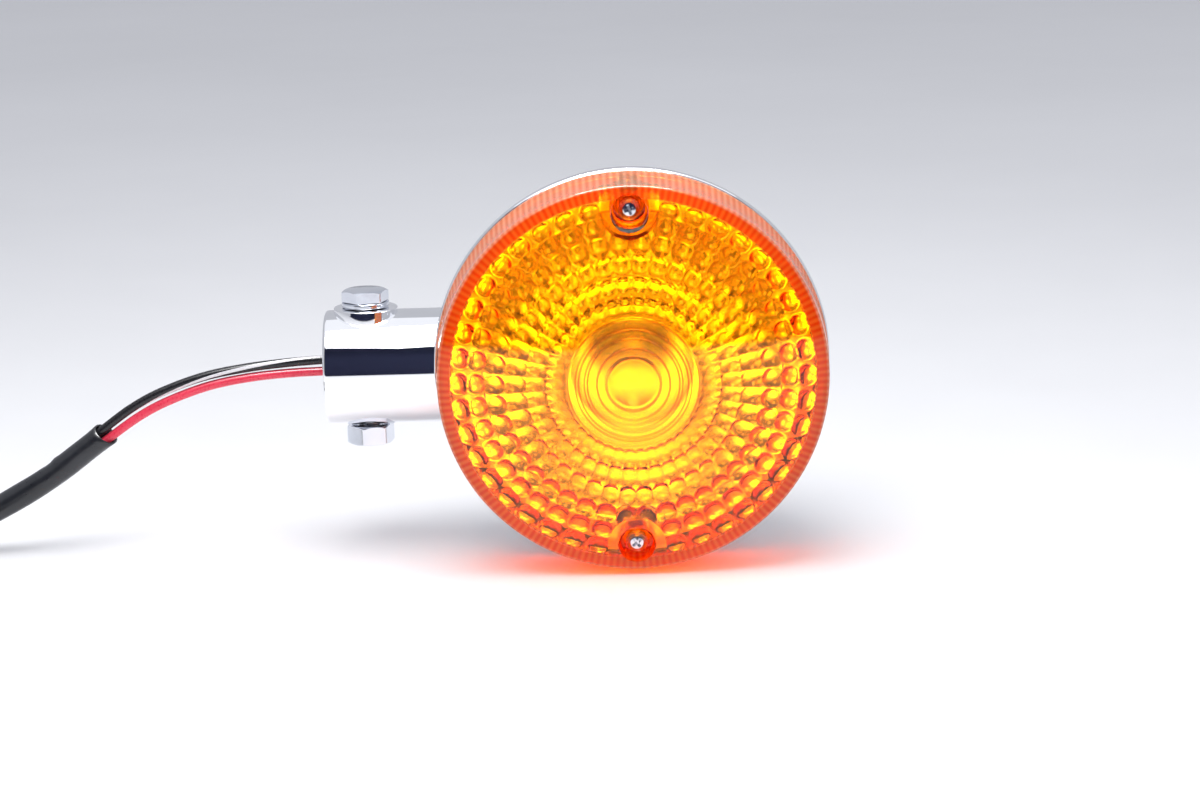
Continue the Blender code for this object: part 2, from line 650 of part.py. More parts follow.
# Centre lines of the two free wires, from the grommet out through the stem to the sleeve.
RED_ROUTE = [
    (GROMMET_OUTER - GAP, 0.0016, -0.0016), (0.0200, 0.0030, -0.0018), (0.0140, 0.0048, -0.0019),
    (0.0099, 0.0052, -0.0019), (0.0050, 0.0050, -0.0018), (0.0000, 0.0045, -0.0018),
    (-0.0100, 0.0040, -0.0020), (-0.0200, 0.0034, -0.0028), (-0.0297, 0.0030, -0.0046),
    (-0.0395, 0.0027, -0.0080), (-0.0463, 0.0024, -0.0114), (-0.0527, 0.0022, -0.0157)]
BLACK_ROUTE = [
    (GROMMET_OUTER - GAP, 0.0016, 0.0014), (0.0200, 0.0030, 0.0014), (0.0140, 0.0048, 0.0014),
    (0.0099, 0.0052, 0.0014), (0.0050, 0.0050, 0.0013), (0.0000, 0.0045, 0.0011),
    (-0.0100, 0.0040, 0.0006), (-0.0200, 0.0034, -0.0003), (-0.0303, 0.0030, -0.0021),
    (-0.0405, 0.0027, -0.0055), (-0.0477, 0.0024, -0.0091), (-0.0542, 0.0022, -0.0136)]
# Centre line of the sleeve from its mouth down to the surface and on to the coil.
SLEEVE_ROUTE = [
    (-0.0538, 0.0022, -0.0149), (-0.0600, 0.0021, -0.0195), (-0.0665, 0.0020, -0.0243),
    (-0.0720, 0.0020, -0.0279), (-0.0780, 0.0020, -0.0313), (-0.0840, 0.0020, -0.0345),
    (-0.0900, 0.0020, -0.0374), (COIL_X + 0.0200, SLEEVE_Y, -0.0397)]
# Centre lines of the wires' ends, from the curled end of the sleeve to the connector boots,
# measured from the middle of the coil and up from the surface.
RED_END = [(0.0084, 0.0180, 0.0030), (0.0025, 0.0168, 0.0025), (-0.0012, 0.0148, 0.0025),
           (-0.0038, 0.0123, 0.0029)]
BLACK_END = [(0.00925, 0.0158, 0.0030), (0.0055, 0.0136, 0.0025), (0.0030, 0.0105, 0.0025),
             (0.0016, 0.0063, 0.0029)]


def make_held_wiring(lens_axis, stem_axis):
    """The grommet in the stem's end wall, and the wires from it to the bulb holder."""
    grommet = [(0.0, GROMMET_OUTER), (0.0062, GROMMET_OUTER), (0.0062, BORE_DEPTH - GAP),
               (WEB_HOLE_R - GAP, BORE_DEPTH - GAP), (WEB_HOLE_R - GAP, GROMMET_INNER), (0.0, GROMMET_INNER)]
    turned("wire_grommet", grommet, "black_rubber", stem_axis, 20)

    start = GROMMET_INNER + GAP - LENS_REACH
    red = [(start, -0.0036, 0.0000), (start + 0.0060, -0.0044, -0.0020), (-0.0270, -0.0064, -0.0100),
           (-0.0200, -0.0095, -0.0160), (-0.0110, -0.0122, -0.0160), (-0.0035, -FIXING_R, -0.0139)]
    tube("red_wire_in_housing", smooth_route(red, 0.0030), WIRE_R, "red_pvc", lens_axis)
    black = [(start, -0.0006, 0.0000), (start + 0.0050, -0.0006, -0.0020), (-0.0270, -0.0010, -0.0150),
             (-0.0190, -0.0010, -0.0244), (-0.0110, -0.0008, -0.0294), (-0.0050, -0.0003, -0.0306),
             (-0.0010, 0.0000, -0.0303)]
    tube("black_wire_in_housing", smooth_route(black, 0.0030), WIRE_R, "black_pvc", lens_axis)


def make_free_lead():
    """The free lead: two wires, the sleeve over them, one turn of it, and its two connectors."""
    tube("red_wire_lead", smooth_route(RED_ROUTE, 0.0045), WIRE_R, "red_pvc")
    tube("black_wire_lead", smooth_route(BLACK_ROUTE, 0.0045), WIRE_R, "black_pvc")
    tube("sleeve_lead", smooth_route(SLEEVE_ROUTE, 0.0060), SLEEVE_R, "black_pvc")

    coil_axis = axis_empty("coil_axis", (COIL_X, COIL_Y, FLOOR + SLEEVE_R))
    turned("sleeve_coil", arc(COIL_R, 0.0, SLEEVE_R, 0, 315, 7), "black_pvc", coil_axis, 30)
    curl = []
    curl_start = math.radians(75)
    for step in range(6):
        angle = curl_start + (CURL_END - curl_start) * step / 5
        curl.append((COIL_R - CURL_R + CURL_R * math.cos(angle), CURL_R * math.sin(angle), 0.0))
    tube("sleeve_end", curl, SLEEVE_R, "black_pvc", coil_axis)

    surface = axis_empty("coil_floor", (COIL_X, COIL_Y, FLOOR))
    for name, route, heading, material in (("red", RED_END, 235, "red_pvc"),
                                           ("black", BLACK_END, 255, "black_pvc")):
        points = smooth_route(route, 0.0030)
        along = Vector((math.cos(math.radians(heading)), math.sin(math.radians(heading)), 0.0))
        sleeve_edge = points[0] + Vector((-0.94, -0.34, 0.0)) * GAP
        tube(name + "_wire_end", [sleeve_edge] + points[1:], WIRE_R, material, surface)
        boot_start = points[-1] + along * GAP
        make_connector(name, boot_start, heading, surface)


def make_connector(name, start, heading, surface):
    """A bullet connector lying on the surface: its insulating boot and its brass bullet."""
    turn = (0.0, math.radians(90), math.radians(heading))
    boot = turned(name + "_connector_boot", [
        (0.0, BOOT_LENGTH), (BOOT_R - 0.0004, BOOT_LENGTH), (BOOT_R, BOOT_LENGTH - 0.0004),
        (BOOT_R, 0.0060), (0.0019, 0.0030), (0.0017, 0.0), (0.0, 0.0)],
        "black_pvc", surface, 24)
    neck = BULLET_R * 0.72
    base = BOOT_LENGTH + GAP
    bullet = turned(name + "_bullet", [
        (0.0, base + BULLET_LENGTH), (BULLET_R * 0.5, base + BULLET_LENGTH - 0.0003),
        (BULLET_R, base + BULLET_LENGTH - 0.0015), (BULLET_R, base + 0.0050), (neck, base + 0.0042),
        (neck, base + 0.0034), (BULLET_R, base + 0.0026), (BULLET_R, base), (0.0, base)],
        "brass", surface, 20)
    for piece in (boot, bullet):
        piece.location = start
        piece.rotation_euler = turn


def main():
    clear_scene()
    lens_turn = (math.radians(90), 0.0, 0.0)
    stem_turn = (0.0, math.radians(90), 0.0)
    lens_axis = axis_empty("lens_axis", (LENS_REACH, 0.0, LENS_RISE), lens_turn)
    plunger_axis = axis_empty("plunger_axis", (LENS_REACH, 0.0, LENS_RISE), lens_turn)
    bulb_axis = axis_empty("bulb_axis", (LENS_REACH, 0.0, LENS_RISE), lens_turn)
    stem_axis = axis_empty("stem_axis", (0.0, 0.0, 0.0), stem_turn)
    bolt_axis = axis_empty("bolt_axis", (BOLT_INSET, 0.0, 0.0))
    washer_axis = axis_empty("washer_axis", (BOLT_INSET, 0.0, 0.0))
    bolt_turn_axis = axis_empty("bolt_turn_axis", (BOLT_INSET, 0.0, 0.0))

    make_housing(lens_axis, stem_axis, bolt_axis)
    make_lens(lens_axis)
    make_lens_screw("lens_screw_upper", SCREW_OFFSET, lens_axis)
    make_lens_screw("lens_screw_lower", -SCREW_OFFSET, lens_axis)
    ring("lens_gasket", LIP_INNER_R - 0.0025, LIP_INNER_R - GAP, SEAT + GAP, LIP_FRONT,
         "black_rubber", lens_axis, 48)
    make_reflector(lens_axis)
    make_socket(lens_axis)
    disc_back = make_contact(plunger_axis)
    make_spring(lens_axis, disc_back)
    make_bulb(bulb_axis)
    make_clamp(washer_axis, bolt_turn_axis, bolt_axis)
    make_held_wiring(lens_axis, stem_axis)
    make_free_lead()


main()
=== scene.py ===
"""Motorcycle turn signal indicator: the fine surfaces, materials, floor, lights and camera.

Round amber lens on a chromed housing with a side stem, its clamp bolt and its free lead.
Everything is in metres in the CAD model's frame: +X from the stem's open end to the lens axis,
-Y the way the lens faces, +Z up.
"""
import math

import bmesh
import bpy
from mathutils import Matrix, Vector


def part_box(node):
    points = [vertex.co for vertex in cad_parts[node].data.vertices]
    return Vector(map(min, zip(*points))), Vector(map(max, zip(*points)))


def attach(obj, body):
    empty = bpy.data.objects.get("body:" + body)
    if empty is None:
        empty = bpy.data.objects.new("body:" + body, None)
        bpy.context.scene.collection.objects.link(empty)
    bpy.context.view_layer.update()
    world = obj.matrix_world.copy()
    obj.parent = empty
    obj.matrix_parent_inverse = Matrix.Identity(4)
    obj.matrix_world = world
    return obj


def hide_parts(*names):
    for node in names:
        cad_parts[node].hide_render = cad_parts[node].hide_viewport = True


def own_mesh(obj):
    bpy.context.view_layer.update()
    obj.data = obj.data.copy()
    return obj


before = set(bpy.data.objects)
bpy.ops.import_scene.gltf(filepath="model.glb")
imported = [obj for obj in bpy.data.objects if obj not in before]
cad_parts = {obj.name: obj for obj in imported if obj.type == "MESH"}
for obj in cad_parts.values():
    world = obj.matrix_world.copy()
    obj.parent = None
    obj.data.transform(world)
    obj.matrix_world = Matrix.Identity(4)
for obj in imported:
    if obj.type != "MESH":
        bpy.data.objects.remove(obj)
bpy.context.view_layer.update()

# ---------------------------------------------------------------- places taken from the CAD model
LENS_LOW, LENS_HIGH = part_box("lens")
BOLT_LOW, BOLT_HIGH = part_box("clamp_bolt")
LENS_X = (LENS_LOW.x + LENS_HIGH.x) / 2
LENS_Z = (LENS_LOW.z + LENS_HIGH.z) / 2
BOLT_X = (BOLT_LOW.x + BOLT_HIGH.x) / 2

# ---------------------------------------------------------------- sizes shared with the CAD model
GAP = 0.0003
BOWL_BACK = -0.0350
SEAT = 0.0135
LIP_FRONT = 0.0147
FLANGE_REAR = 0.0150
RIM_FRONT = 0.0314
DOME_RISE = 0.0056
LIP_R = 0.0469
LIP_INNER_R = 0.0456
BOWL_R = 0.0462
CAVITY_R = 0.0416
BOWL_INNER_BACK = -0.0328
FLANGE_R = 0.0465
RIM_R = 0.0455
LENS_WALL = 0.0022
STEM_R = 0.0138
BORE_R = 0.0105
BORE_DEPTH = 0.0262
WEB_HOLE_R = 0.0045
BOLT_SHANK_R = 0.0029
BOLT_HOLE_R = 0.0033
BOSS_R = 0.0077
BOSS_FACE = 0.0147
SPOT_FACE = -0.0137
HEX_FLATS = 0.0100
HEAD_THICKNESS = 0.0028
NUT_THICKNESS = 0.0047
WASHER_THICKNESS = 0.0011
HEX_TURN = math.radians(16)
SCREW_OFFSET = 0.0395
SCREW_HEAD_R = 0.0026
SCREW_SHANK_R = 0.00145
SCREW_LENGTH = 0.0247
RECESS_R = 0.0041
RECESS_FLOOR = 0.0274
POCKET_R = 0.0068
DISH_RIM_R = 0.0354
DISH_RIM = 0.0143
LAND_R = 0.0160
LAND = -0.0100
LAND_HOLE_R = 0.0089
SHEET = 0.0009
FIXING_R = 0.0122
BULB_R = 0.0125
BULB_APEX = 0.0270
CAP_R = 0.0075
CAP_BACK = -0.0190
CAP_FRONT = -0.0030
PIN_STATION = -0.0122
WIRE_R = 0.0011
SLEEVE_R = 0.0030
FLOOR = LENS_Z - LIP_R
COIL_R = 0.0330
COIL_X = -0.1160
COIL_Y = -0.0310
CURL_R = 0.0180
CURL_END = math.radians(110)
BOOT_R = 0.0029
BOOT_LENGTH = 0.0200
BULLET_R = 0.00195
BULLET_LENGTH = 0.0090

# ---------------------------------------------------------------- axes that round pieces turn about
# origin, first radial direction, second radial direction, direction along the axis
LENS_AXIS = (Vector((LENS_X, 0, LENS_Z)), Vector((1, 0, 0)), Vector((0, 0, 1)), Vector((0, -1, 0)))
STEM_AXIS = (Vector((0, 0, 0)), Vector((0, 1, 0)), Vector((0, 0, 1)), Vector((1, 0, 0)))
BOLT_AXIS = (Vector((BOLT_X, 0, 0)), Vector((1, 0, 0)), Vector((0, 1, 0)), Vector((0, 0, 1)))


def shifted(axis, across, up):
    """The same axis moved sideways along its two radial directions."""
    origin, right, upward, along = axis
    return (origin + right * across + upward * up, right, upward, along)


def on_axis(axis, radius, angle, along):
    origin, right, upward, forward = axis
    return origin + right * (radius * math.cos(angle)) + upward * (radius * math.sin(angle)) + forward * along


# ---------------------------------------------------------------- camera
CAMERA_ELEVATION, CAMERA_ROLL = 13.0, 1.5     # degrees
CAMERA_DISTANCE = 0.700
CAMERA_LENS = 90.9            # mm


def make_camera():
    """A long lens in front of the lamp, a little above it and rolled slightly clockwise."""
    elevation, roll = math.radians(CAMERA_ELEVATION), math.radians(CAMERA_ROLL)
    aim = Vector((LENS_X - 0.0078, -RIM_FRONT - 0.0009, LENS_Z - 0.0041))
    forward = Vector((0, math.cos(elevation), -math.sin(elevation)))
    level_right = Vector((1, 0, 0))
    level_up = level_right.cross(forward)
    right = level_right * math.cos(roll) - level_up * math.sin(roll)
    up = level_up * math.cos(roll) + level_right * math.sin(roll)
    camera = bpy.data.objects.new("camera", bpy.data.cameras.new("camera"))
    camera.data.sensor_width = 36.0
    camera.data.lens = CAMERA_LENS
    camera.matrix_world = Matrix((
        (right.x, up.x, -forward.x, 0), (right.y, up.y, -forward.y, 0),
        (right.z, up.z, -forward.z, 0), (0, 0, 0, 1)))
    camera.location = aim - forward * CAMERA_DISTANCE
    bpy.context.collection.objects.link(camera)
    bpy.context.scene.camera = camera


# ---------------------------------------------------------------- material building
class Shading:
    """A material's node tree with short ways to add the nodes used here."""

    def __init__(self, name, **shader_values):
        self.material = bpy.data.materials.new(name)
        self.material.use_nodes = True
        self.tree = self.material.node_tree
        self.shader = self.tree.nodes["Principled BSDF"]
        self.output = self.tree.nodes["Material Output"]
        self.coordinates = self.add("ShaderNodeTexCoord").outputs["Object"]
        self.shade(**shader_values)

    def feed(self, node, inputs):
        """Give each named or numbered input a socket to read or a plain value."""
        for key, value in inputs.items():
            if isinstance(value, bpy.types.NodeSocket):
                self.tree.links.new(value, node.inputs[key])
            else:
                node.inputs[key].default_value = value
        return node

    def add(self, kind, inputs=None, **settings):
        node = self.tree.nodes.new(kind)
        for key, value in settings.items():
            setattr(node, key, value)
        return self.feed(node, inputs or {})

    def shade(self, **inputs):
        """Feed the material's own shader."""
        self.feed(self.shader, {key.replace("_", " "): value for key, value in inputs.items()})

    def compute(self, operation, *values):
        return self.add("ShaderNodeMath", dict(enumerate(values)), operation=operation).outputs[0]

    def vectors(self, operation, *values):
        return self.add("ShaderNodeVectorMath", dict(enumerate(values)), operation=operation).outputs

    def noise(self, scale, detail=4.0):
        """Object-space noise as a 0 to 1 value."""
        return self.add("ShaderNodeTexNoise", {
            "Vector": self.coordinates, "Scale": scale, "Detail": detail, "Roughness": 0.55}).outputs["Fac"]

    def ramp(self, value, *stops):
        """Colours or greys at the given positions of a 0 to 1 value."""
        node = self.add("ShaderNodeValToRGB", {"Fac": value})
        elements = node.color_ramp.elements
        while len(elements) < len(stops):
            elements.new(1.0)
        for element, (position, color) in zip(elements, stops):
            element.position = position
            element.color = (*color, 1.0) if isinstance(color, tuple) else (color, color, color, 1.0)
        return node.outputs["Color"]

    def distance_from(self, place, counted):
        """Distance of a surface point from a place, counting only the axes given as 1."""
        offset = self.vectors("SUBTRACT", self.coordinates, place)[0]
        return self.vectors("LENGTH", self.vectors("MULTIPLY", offset, counted)[0])["Value"]

    def between(self, value, low, high):
        """0 at the low value and beyond it, 1 at the high one, which may be the smaller number."""
        return self.add("ShaderNodeMapRange", {"Value": value, "From Min": low, "From Max": high},
                        interpolation_type="SMOOTHSTEP").outputs["Result"]

    def ribs_round(self, place, count):
        """A wave from 0 to 0.5 and back, count times round the lamp's axis through a place."""
        offset = self.vectors("SUBTRACT", self.coordinates, place)[0]
        parts = self.add("ShaderNodeSeparateXYZ", {0: offset}).outputs
        angle = self.compute("ARCTAN2", parts["X"], parts["Z"])
        return self.compute("PINGPONG", self.compute("MULTIPLY", angle, count / (2 * math.pi)), 0.5)

    def ring_lines(self, radius, lines):
        """1 within each (radius, half width) line, 0 elsewhere."""
        total = 0.0
        for place, half in lines:
            total = self.compute("MAXIMUM", total, self.compute("COMPARE", radius, place, half))
        return total

    def blend(self, share, first, second):
        """The first colour turned into the second, a socket or a plain colour, by a 0 to 1 share."""
        if isinstance(second, tuple):
            second = (*second, 1.0)
        return self.add("ShaderNodeMix", {"Factor": share, "A": first, "B": second},
                        data_type="RGBA").outputs["Result"]

    def bump(self, height, strength, distance):
        node = self.add("ShaderNodeBump", {"Strength": strength, "Distance": distance, "Height": height})
        self.shade(Normal=node.outputs["Normal"])

    def pass_lamplight(self, tint):
        """Let light from the lamps through, tinted, as a clear moulding does."""
        shadow = self.add("ShaderNodeLightPath").outputs["Is Shadow Ray"]
        clear = self.add("ShaderNodeBsdfTransparent", {"Color": (*tint, 1.0)}).outputs["BSDF"]
        mix = self.add("ShaderNodeMixShader", {0: shadow, 1: self.shader.outputs["BSDF"], 2: clear})
        self.feed(self.output, {"Surface": mix.outputs["Shader"]})


FINE_MIX = (0.30, 0.75)       # noise values where a fine variation starts and ends


def metal(name, light, dark, smooth, rough, grain=900.0, bump=0.05):
    """Bare or plated metal: colour and polish vary finely, with a faint grain in the surface."""
    look = Shading(name, Metallic=1.0)
    fine = look.noise(grain)
    look.shade(Base_Color=look.ramp(look.noise(grain / 6), (0.35, dark), (0.65, light)),
               Roughness=look.ramp(fine, *zip(FINE_MIX, (smooth, rough))))
    look.bump(fine, bump, 0.00002)
    return look.material


def plastic(name, light, dark, smooth, rough, grain=1500.0, bump=0.12, coat=0.0):
    look = Shading(name, Metallic=0.0, IOR=1.5, Coat_Weight=coat, Coat_Roughness=0.08)
    fine = look.noise(grain)
    look.shade(Base_Color=look.ramp(look.noise(grain / 8), (0.35, dark), (0.70, light)),
               Roughness=look.ramp(fine, *zip(FINE_MIX, (smooth, rough))))
    look.bump(fine, bump, 0.00003)
    return look.material


RIBS = 180                    # inside the side wall
RIB_DEPTH = 0.0008
RIBBED_WALL = 0.0031          # side wall with its ribs, at the front
RINGED_R = 0.0151             # middle of the face, frosted behind its rings
# the dark lines along the ring steps of the middle are painted shade
RING_SHADE_LINES = ((0.0062, 0.00028), (0.0084, 0.00022), (0.0106, 0.00017), (0.0113, 0.00015),
              (0.0126, 0.00017), (0.0134, 0.00015), (0.0151, 0.00014))   # radius, half width
EDGE_BLEND = 0.0002           # half of the width over which one part of the lens turns into the next
FACE_TINTS = ((0.30, (1.0, 0.60, 0.055)), (0.70, (1.0, 0.64, 0.07)))
PAD_TINT = (0.96, 0.42, 0.025)            # round the screws
# colour of the painted shade along the ring steps
STEP_SHADE_TINT = (0.72, 0.20, 0.008)
# the ribs' two tints are painted shade and highlight over the rim's and side wall's own amber: each rib
# lighter along its middle, darker at its edges
RIM_RIB_SHADE_TINTS = ((0.10, (0.86, 0.10, 0.004)), (0.42, (0.95, 0.22, 0.018)))
WALL_RIB_SHADE_TINTS = ((0.10, (0.66, 0.29, 0.13)), (0.42, (0.78, 0.47, 0.27)))
RIM_CLEARNESS, WALL_CLEARNESS = 0.62, (0.50, 0.50, 0.50)
FROSTED = (0.17, 0.17, 0.17)              # roughness of the ringed middle
DEEP_AMBER, ACRYLIC_DENSITY = (1.0, 0.85, 0.10, 1.0), 200.0
ACROSS_LAMP = (1.0, 0.0, 1.0)             # counts distance from the lamp's axis, not along it


def amber_lens_material():
    """Amber acrylic: clear in the face, milkier in the ribbed rim and side wall, its middle frosted.

    The ribs, ring lines and screw pads are modelled and also tinted: the ribs with painted shade and
    highlight, the ring lines with painted shade.
    """
    look = Shading("amber_acrylic", Metallic=0.0, IOR=1.49)
    from_axis = look.distance_from(LENS_AXIS[0], ACROSS_LAMP)
    rim_start = RIM_R - RIBBED_WALL
    rim = look.between(from_axis, rim_start - 0.0003, rim_start + 0.0003)
    side_wall = look.between(from_axis, RIM_R - 0.0009, RIM_R - EDGE_BLEND)
    face = look.ramp(look.noise(60.0, 3.0), *FACE_TINTS)
    for side in (1, -1):
        screw = shifted(LENS_AXIS, 0, side * SCREW_OFFSET)[0]
        from_screw = look.distance_from(screw, ACROSS_LAMP)
        pad = look.between(from_screw, POCKET_R + EDGE_BLEND, POCKET_R - EDGE_BLEND)
        face = look.blend(pad, face, PAD_TINT)
    # painted shade: dark lines along the ring steps
    face = look.blend(look.ring_lines(from_axis, RING_SHADE_LINES), face, STEP_SHADE_TINT)
    # rib wave for the painted shade and highlight on the rim and side wall
    ribs = look.ribs_round(LENS_AXIS[0], RIBS)
    front = look.blend(rim, face, look.ramp(ribs, *RIM_RIB_SHADE_TINTS))
    clearness = look.ramp(rim, (0.0, 1.0), (1.0, RIM_CLEARNESS))
    polish = look.ramp(look.noise(420.0), (0.35, 0.012), (0.75, 0.035))
    frosting = look.between(from_axis, RINGED_R + EDGE_BLEND, RINGED_R)
    look.shade(Base_Color=look.blend(side_wall, front, look.ramp(ribs, *WALL_RIB_SHADE_TINTS)),
               Transmission_Weight=look.blend(side_wall, clearness, WALL_CLEARNESS),
               Roughness=look.blend(frosting, polish, FROSTED))
    look.bump(look.noise(240.0, 2.0), 0.03, 0.00005)
    look.pass_lamplight((0.80, 0.42, 0.09))
    depth = look.add("ShaderNodeVolumeAbsorption", {"Color": DEEP_AMBER, "Density": ACRYLIC_DENSITY})
    look.feed(look.output, {"Volume": depth.outputs["Volume"]})
    return look.material


def clear_glass_material():
    look = Shading("clear_bulb_glass", Metallic=0.0, IOR=1.5, Transmission_Weight=1.0)
    look.shade(Base_Color=look.ramp(look.noise(150.0), (0.30, (0.95, 0.97, 0.97)), (0.70, (0.99, 1.0, 1.0))),
               Roughness=look.ramp(look.noise(500.0), (0.35, 0.004), (0.75, 0.020)))
    look.pass_lamplight((0.96, 0.98, 0.98))
    return look.material


TRACER_TWIST = 9.0            # turns of the printed line in each metre of wire
TRACER_SHARE = 0.114          # of the wire's girth
TRACER_EDGE = 0.006
WIRE_BLACK, WIRE_WHITE = (0.012, 0.012, 0.015), (0.80, 0.78, 0.80)


def striped_wire_material():
    """Black insulation with a thin printed tracer line that winds slowly round it."""
    look = Shading("black_pvc_with_tracer", Metallic=0.0, IOR=1.5)
    around = look.add("ShaderNodeUVMap", uv_map="around").outputs["UV"]
    parts = look.add("ShaderNodeSeparateXYZ", {0: around}).outputs
    turn = look.compute("FRACT", look.compute("MULTIPLY_ADD", parts["X"], -TRACER_TWIST, parts["Y"]))
    fine = look.noise(1800.0)
    look.shade(Base_Color=look.ramp(turn, (0.0, WIRE_BLACK), (TRACER_EDGE, WIRE_WHITE),
                                    (TRACER_SHARE, WIRE_WHITE), (TRACER_SHARE + TRACER_EDGE, WIRE_BLACK)),
               Roughness=look.ramp(fine, *zip(FINE_MIX, (0.22, 0.36))))
    look.bump(fine, 0.10, 0.00003)
    return look.material


CHROME = metal("chrome_plate", (0.93, 0.935, 0.955), (0.90, 0.905, 0.93), 0.025, 0.060, 700.0, 0.010)
MIRROR = metal("reflector_coating", (0.95, 0.95, 0.94), (0.91, 0.91, 0.90), 0.14, 0.24, 500.0, 0.04)
ZINC = metal("zinc_plate", (0.78, 0.80, 0.86), (0.69, 0.72, 0.79), 0.10, 0.20, 700.0, 0.02)
BRASS = metal("brass", (0.82, 0.64, 0.30), (0.66, 0.48, 0.20), 0.22, 0.40)
SPRING = metal("spring_steel", (0.60, 0.61, 0.63), (0.45, 0.46, 0.48), 0.22, 0.38)
SOLDER = metal("solder", (0.66, 0.66, 0.68), (0.50, 0.50, 0.53), 0.32, 0.50)
TUNGSTEN = metal("tungsten", (0.42, 0.42, 0.44), (0.28, 0.28, 0.30), 0.35, 0.50)
AMBER = amber_lens_material()
GLASS = clear_glass_material()
RUBBER = plastic("black_rubber", (0.030, 0.030, 0.032), (0.014, 0.014, 0.016), 0.50, 0.75, 1200.0, 0.25)
PHENOLIC = plastic("phenolic", (0.32, 0.16, 0.07), (0.20, 0.09, 0.04), 0.42, 0.60)
BLACK_GLASS = plastic("black_glass", (0.030, 0.030, 0.050), (0.015, 0.015, 0.025), 0.08, 0.20, 900.0, 0.04)
RED_PVC = plastic("red_pvc", (0.92, 0.055, 0.110), (0.80, 0.030, 0.070), 0.24, 0.38, 1800.0, 0.10, 0.3)
BLACK_PVC = plastic("black_pvc", (0.016, 0.016, 0.020), (0.008, 0.008, 0.011), 0.22, 0.36, 1800.0, 0.10, 0.3)
TRACER_PVC = striped_wire_material()
SLEEVE_PVC = plastic("sleeve_pvc", (0.020, 0.021, 0.027), (0.010, 0.011, 0.015), 0.26, 0.40, 700.0, 0.20,
                     0.25)
BOOT_PVC = plastic("boot_pvc", (0.022, 0.022, 0.026), (0.010, 0.010, 0.014), 0.34, 0.50, 900.0, 0.20)


# ---------------------------------------------------------------- piece building
def piece_from(work, name, material, sharp=40.0):
    """Turn a bmesh into a linked object, smooth but for its sharp edges."""
    bmesh.ops.recalc_face_normals(work, faces=work.faces)
    mesh = bpy.data.meshes.new(name)
    work.to_mesh(mesh)
    work.free()
    mesh.shade_smooth()
    mesh.set_sharp_from_angle(angle=math.radians(sharp))
    if material:
        mesh.materials.append(material)
    obj = bpy.data.objects.new(name, mesh)
    bpy.context.collection.objects.link(obj)
    return obj


def stand_for(obj, body, slot, *nodes):
    """The piece rides on a body and is shown instead of CAD nodes; its slot is not used."""
    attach(obj, body)
    if nodes:
        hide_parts(*nodes)
    return obj


def combine(target, tool, operation="DIFFERENCE", solver="EXACT"):
    """Cut the tool away from the target, or join the two, and drop the tool."""
    modifier = target.modifiers.new("combine", "BOOLEAN")
    modifier.operation = operation
    modifier.solver = solver
    modifier.object = tool
    graph = bpy.context.evaluated_depsgraph_get()
    mesh = bpy.data.meshes.new_from_object(target.evaluated_get(graph))
    target.modifiers.clear()
    target.data = mesh
    bpy.data.objects.remove(tool, do_unlink=True)


def smoothed(obj, sharp):
    obj.data.shade_smooth()
    obj.data.set_sharp_from_angle(angle=math.radians(sharp))
    return obj


def rounded(points, radius, closed=False, steps=3):
    """The outline with each corner replaced by a short arc that keeps clear of its neighbours."""
    result = []
    count = len(points)
    for index, point in enumerate(points):
        if not closed and index in (0, count - 1):
            result.append(point)
            continue
        here = Vector(point)
        before = Vector(points[index - 1]) - here
        after = Vector(points[(index + 1) % count]) - here
        if before.length < 1e-7 or after.length < 1e-7 or abs(before.angle(after) - math.pi) < 0.20:
            result.append(point)
            continue
        reach = min(radius, before.length * 0.45, after.length * 0.45)
        start, end = here + before.normalized() * reach, here + after.normalized() * reach
        for step in range(steps + 1):
            t = step / steps
            result.append(tuple(start * (1 - t) ** 2 + here * (2 * t * (1 - t)) + end * t ** 2))
    return result


def row_of(work, axis, count, place):
    """One ring of points round an axis; place gives (radius, along) at an angle."""
    ring = []
    for step in range(count):
        angle = 2 * math.pi * step / count
        radius, along = place(angle)
        ring.append(work.verts.new(on_axis(axis, radius, angle, along)))
    return ring


def bridge(work, first, second):
    """Faces between two rings, or a ring and a single point. Their counts divide each other."""
    if len(first) < len(second):
        first, second = second, first
    if len(first) == 1:
        return
    if len(second) == 1:
        for step in range(len(first)):
            work.faces.new((first[step], first[(step + 1) % len(first)], second[0]))
        return
    ratio = len(first) // len(second)
    for step in range(len(second)):
        fine = [first[(step * ratio + part) % len(first)] for part in range(ratio + 1)]
        work.faces.new(fine + [second[(step + 1) % len(second)], second[step]])


def lathe(name, profile, axis, material, segments=96, closed=False, sharp=40.0):
    """A solid of revolution from (radius, along) points; open outlines start and end on the axis."""
    work = bmesh.new()
    rings = []
    for radius, along in profile:
        if radius < 1e-7:
            rings.append([work.verts.new(on_axis(axis, 0.0, 0.0, along))])
        else:
            rings.append(row_of(work, axis, segments, lambda angle: (radius, along)))
    pairs = list(zip(rings, rings[1:]))
    if closed:
        pairs.append((rings[-1], rings[0]))
    for first, second in pairs:
        bridge(work, first, second)
    return piece_from(work, name, material, sharp)


def rod(name, radius, low, high, axis, material=None, segments=64):
    return lathe(name, [(0, low), (radius, low), (radius, high), (0, high)], axis, material, segments)


def arc(centre_r, centre_h, radius, start, end, steps):
    """Outline points on a circular arc; angles in degrees, 0 outwards and 90 forwards."""
    points = []
    for step in range(steps + 1):
        angle = math.radians(start + (end - start) * step / steps)
        points.append((centre_r + radius * math.cos(angle), centre_h + radius * math.sin(angle)))
    return points


def bowl_curve(rim_r, rim, back, power, steps):
    """Quarter of a full, rounded bowl from its rim to the middle of its back."""
    points = []
    for step in range(steps + 1):
        angle = 0.5 * math.pi * step / steps
        radius = rim_r * math.cos(angle) ** (2 / power) if step < steps else 0.0
        points.append((radius, rim + (back - rim) * math.sin(angle) ** (2 / power)))
    return points


def distances_along(points):
    distances = [0.0]
    for start, end in zip(points, points[1:]):
        distances.append(distances[-1] + (end - start).length)
    return distances


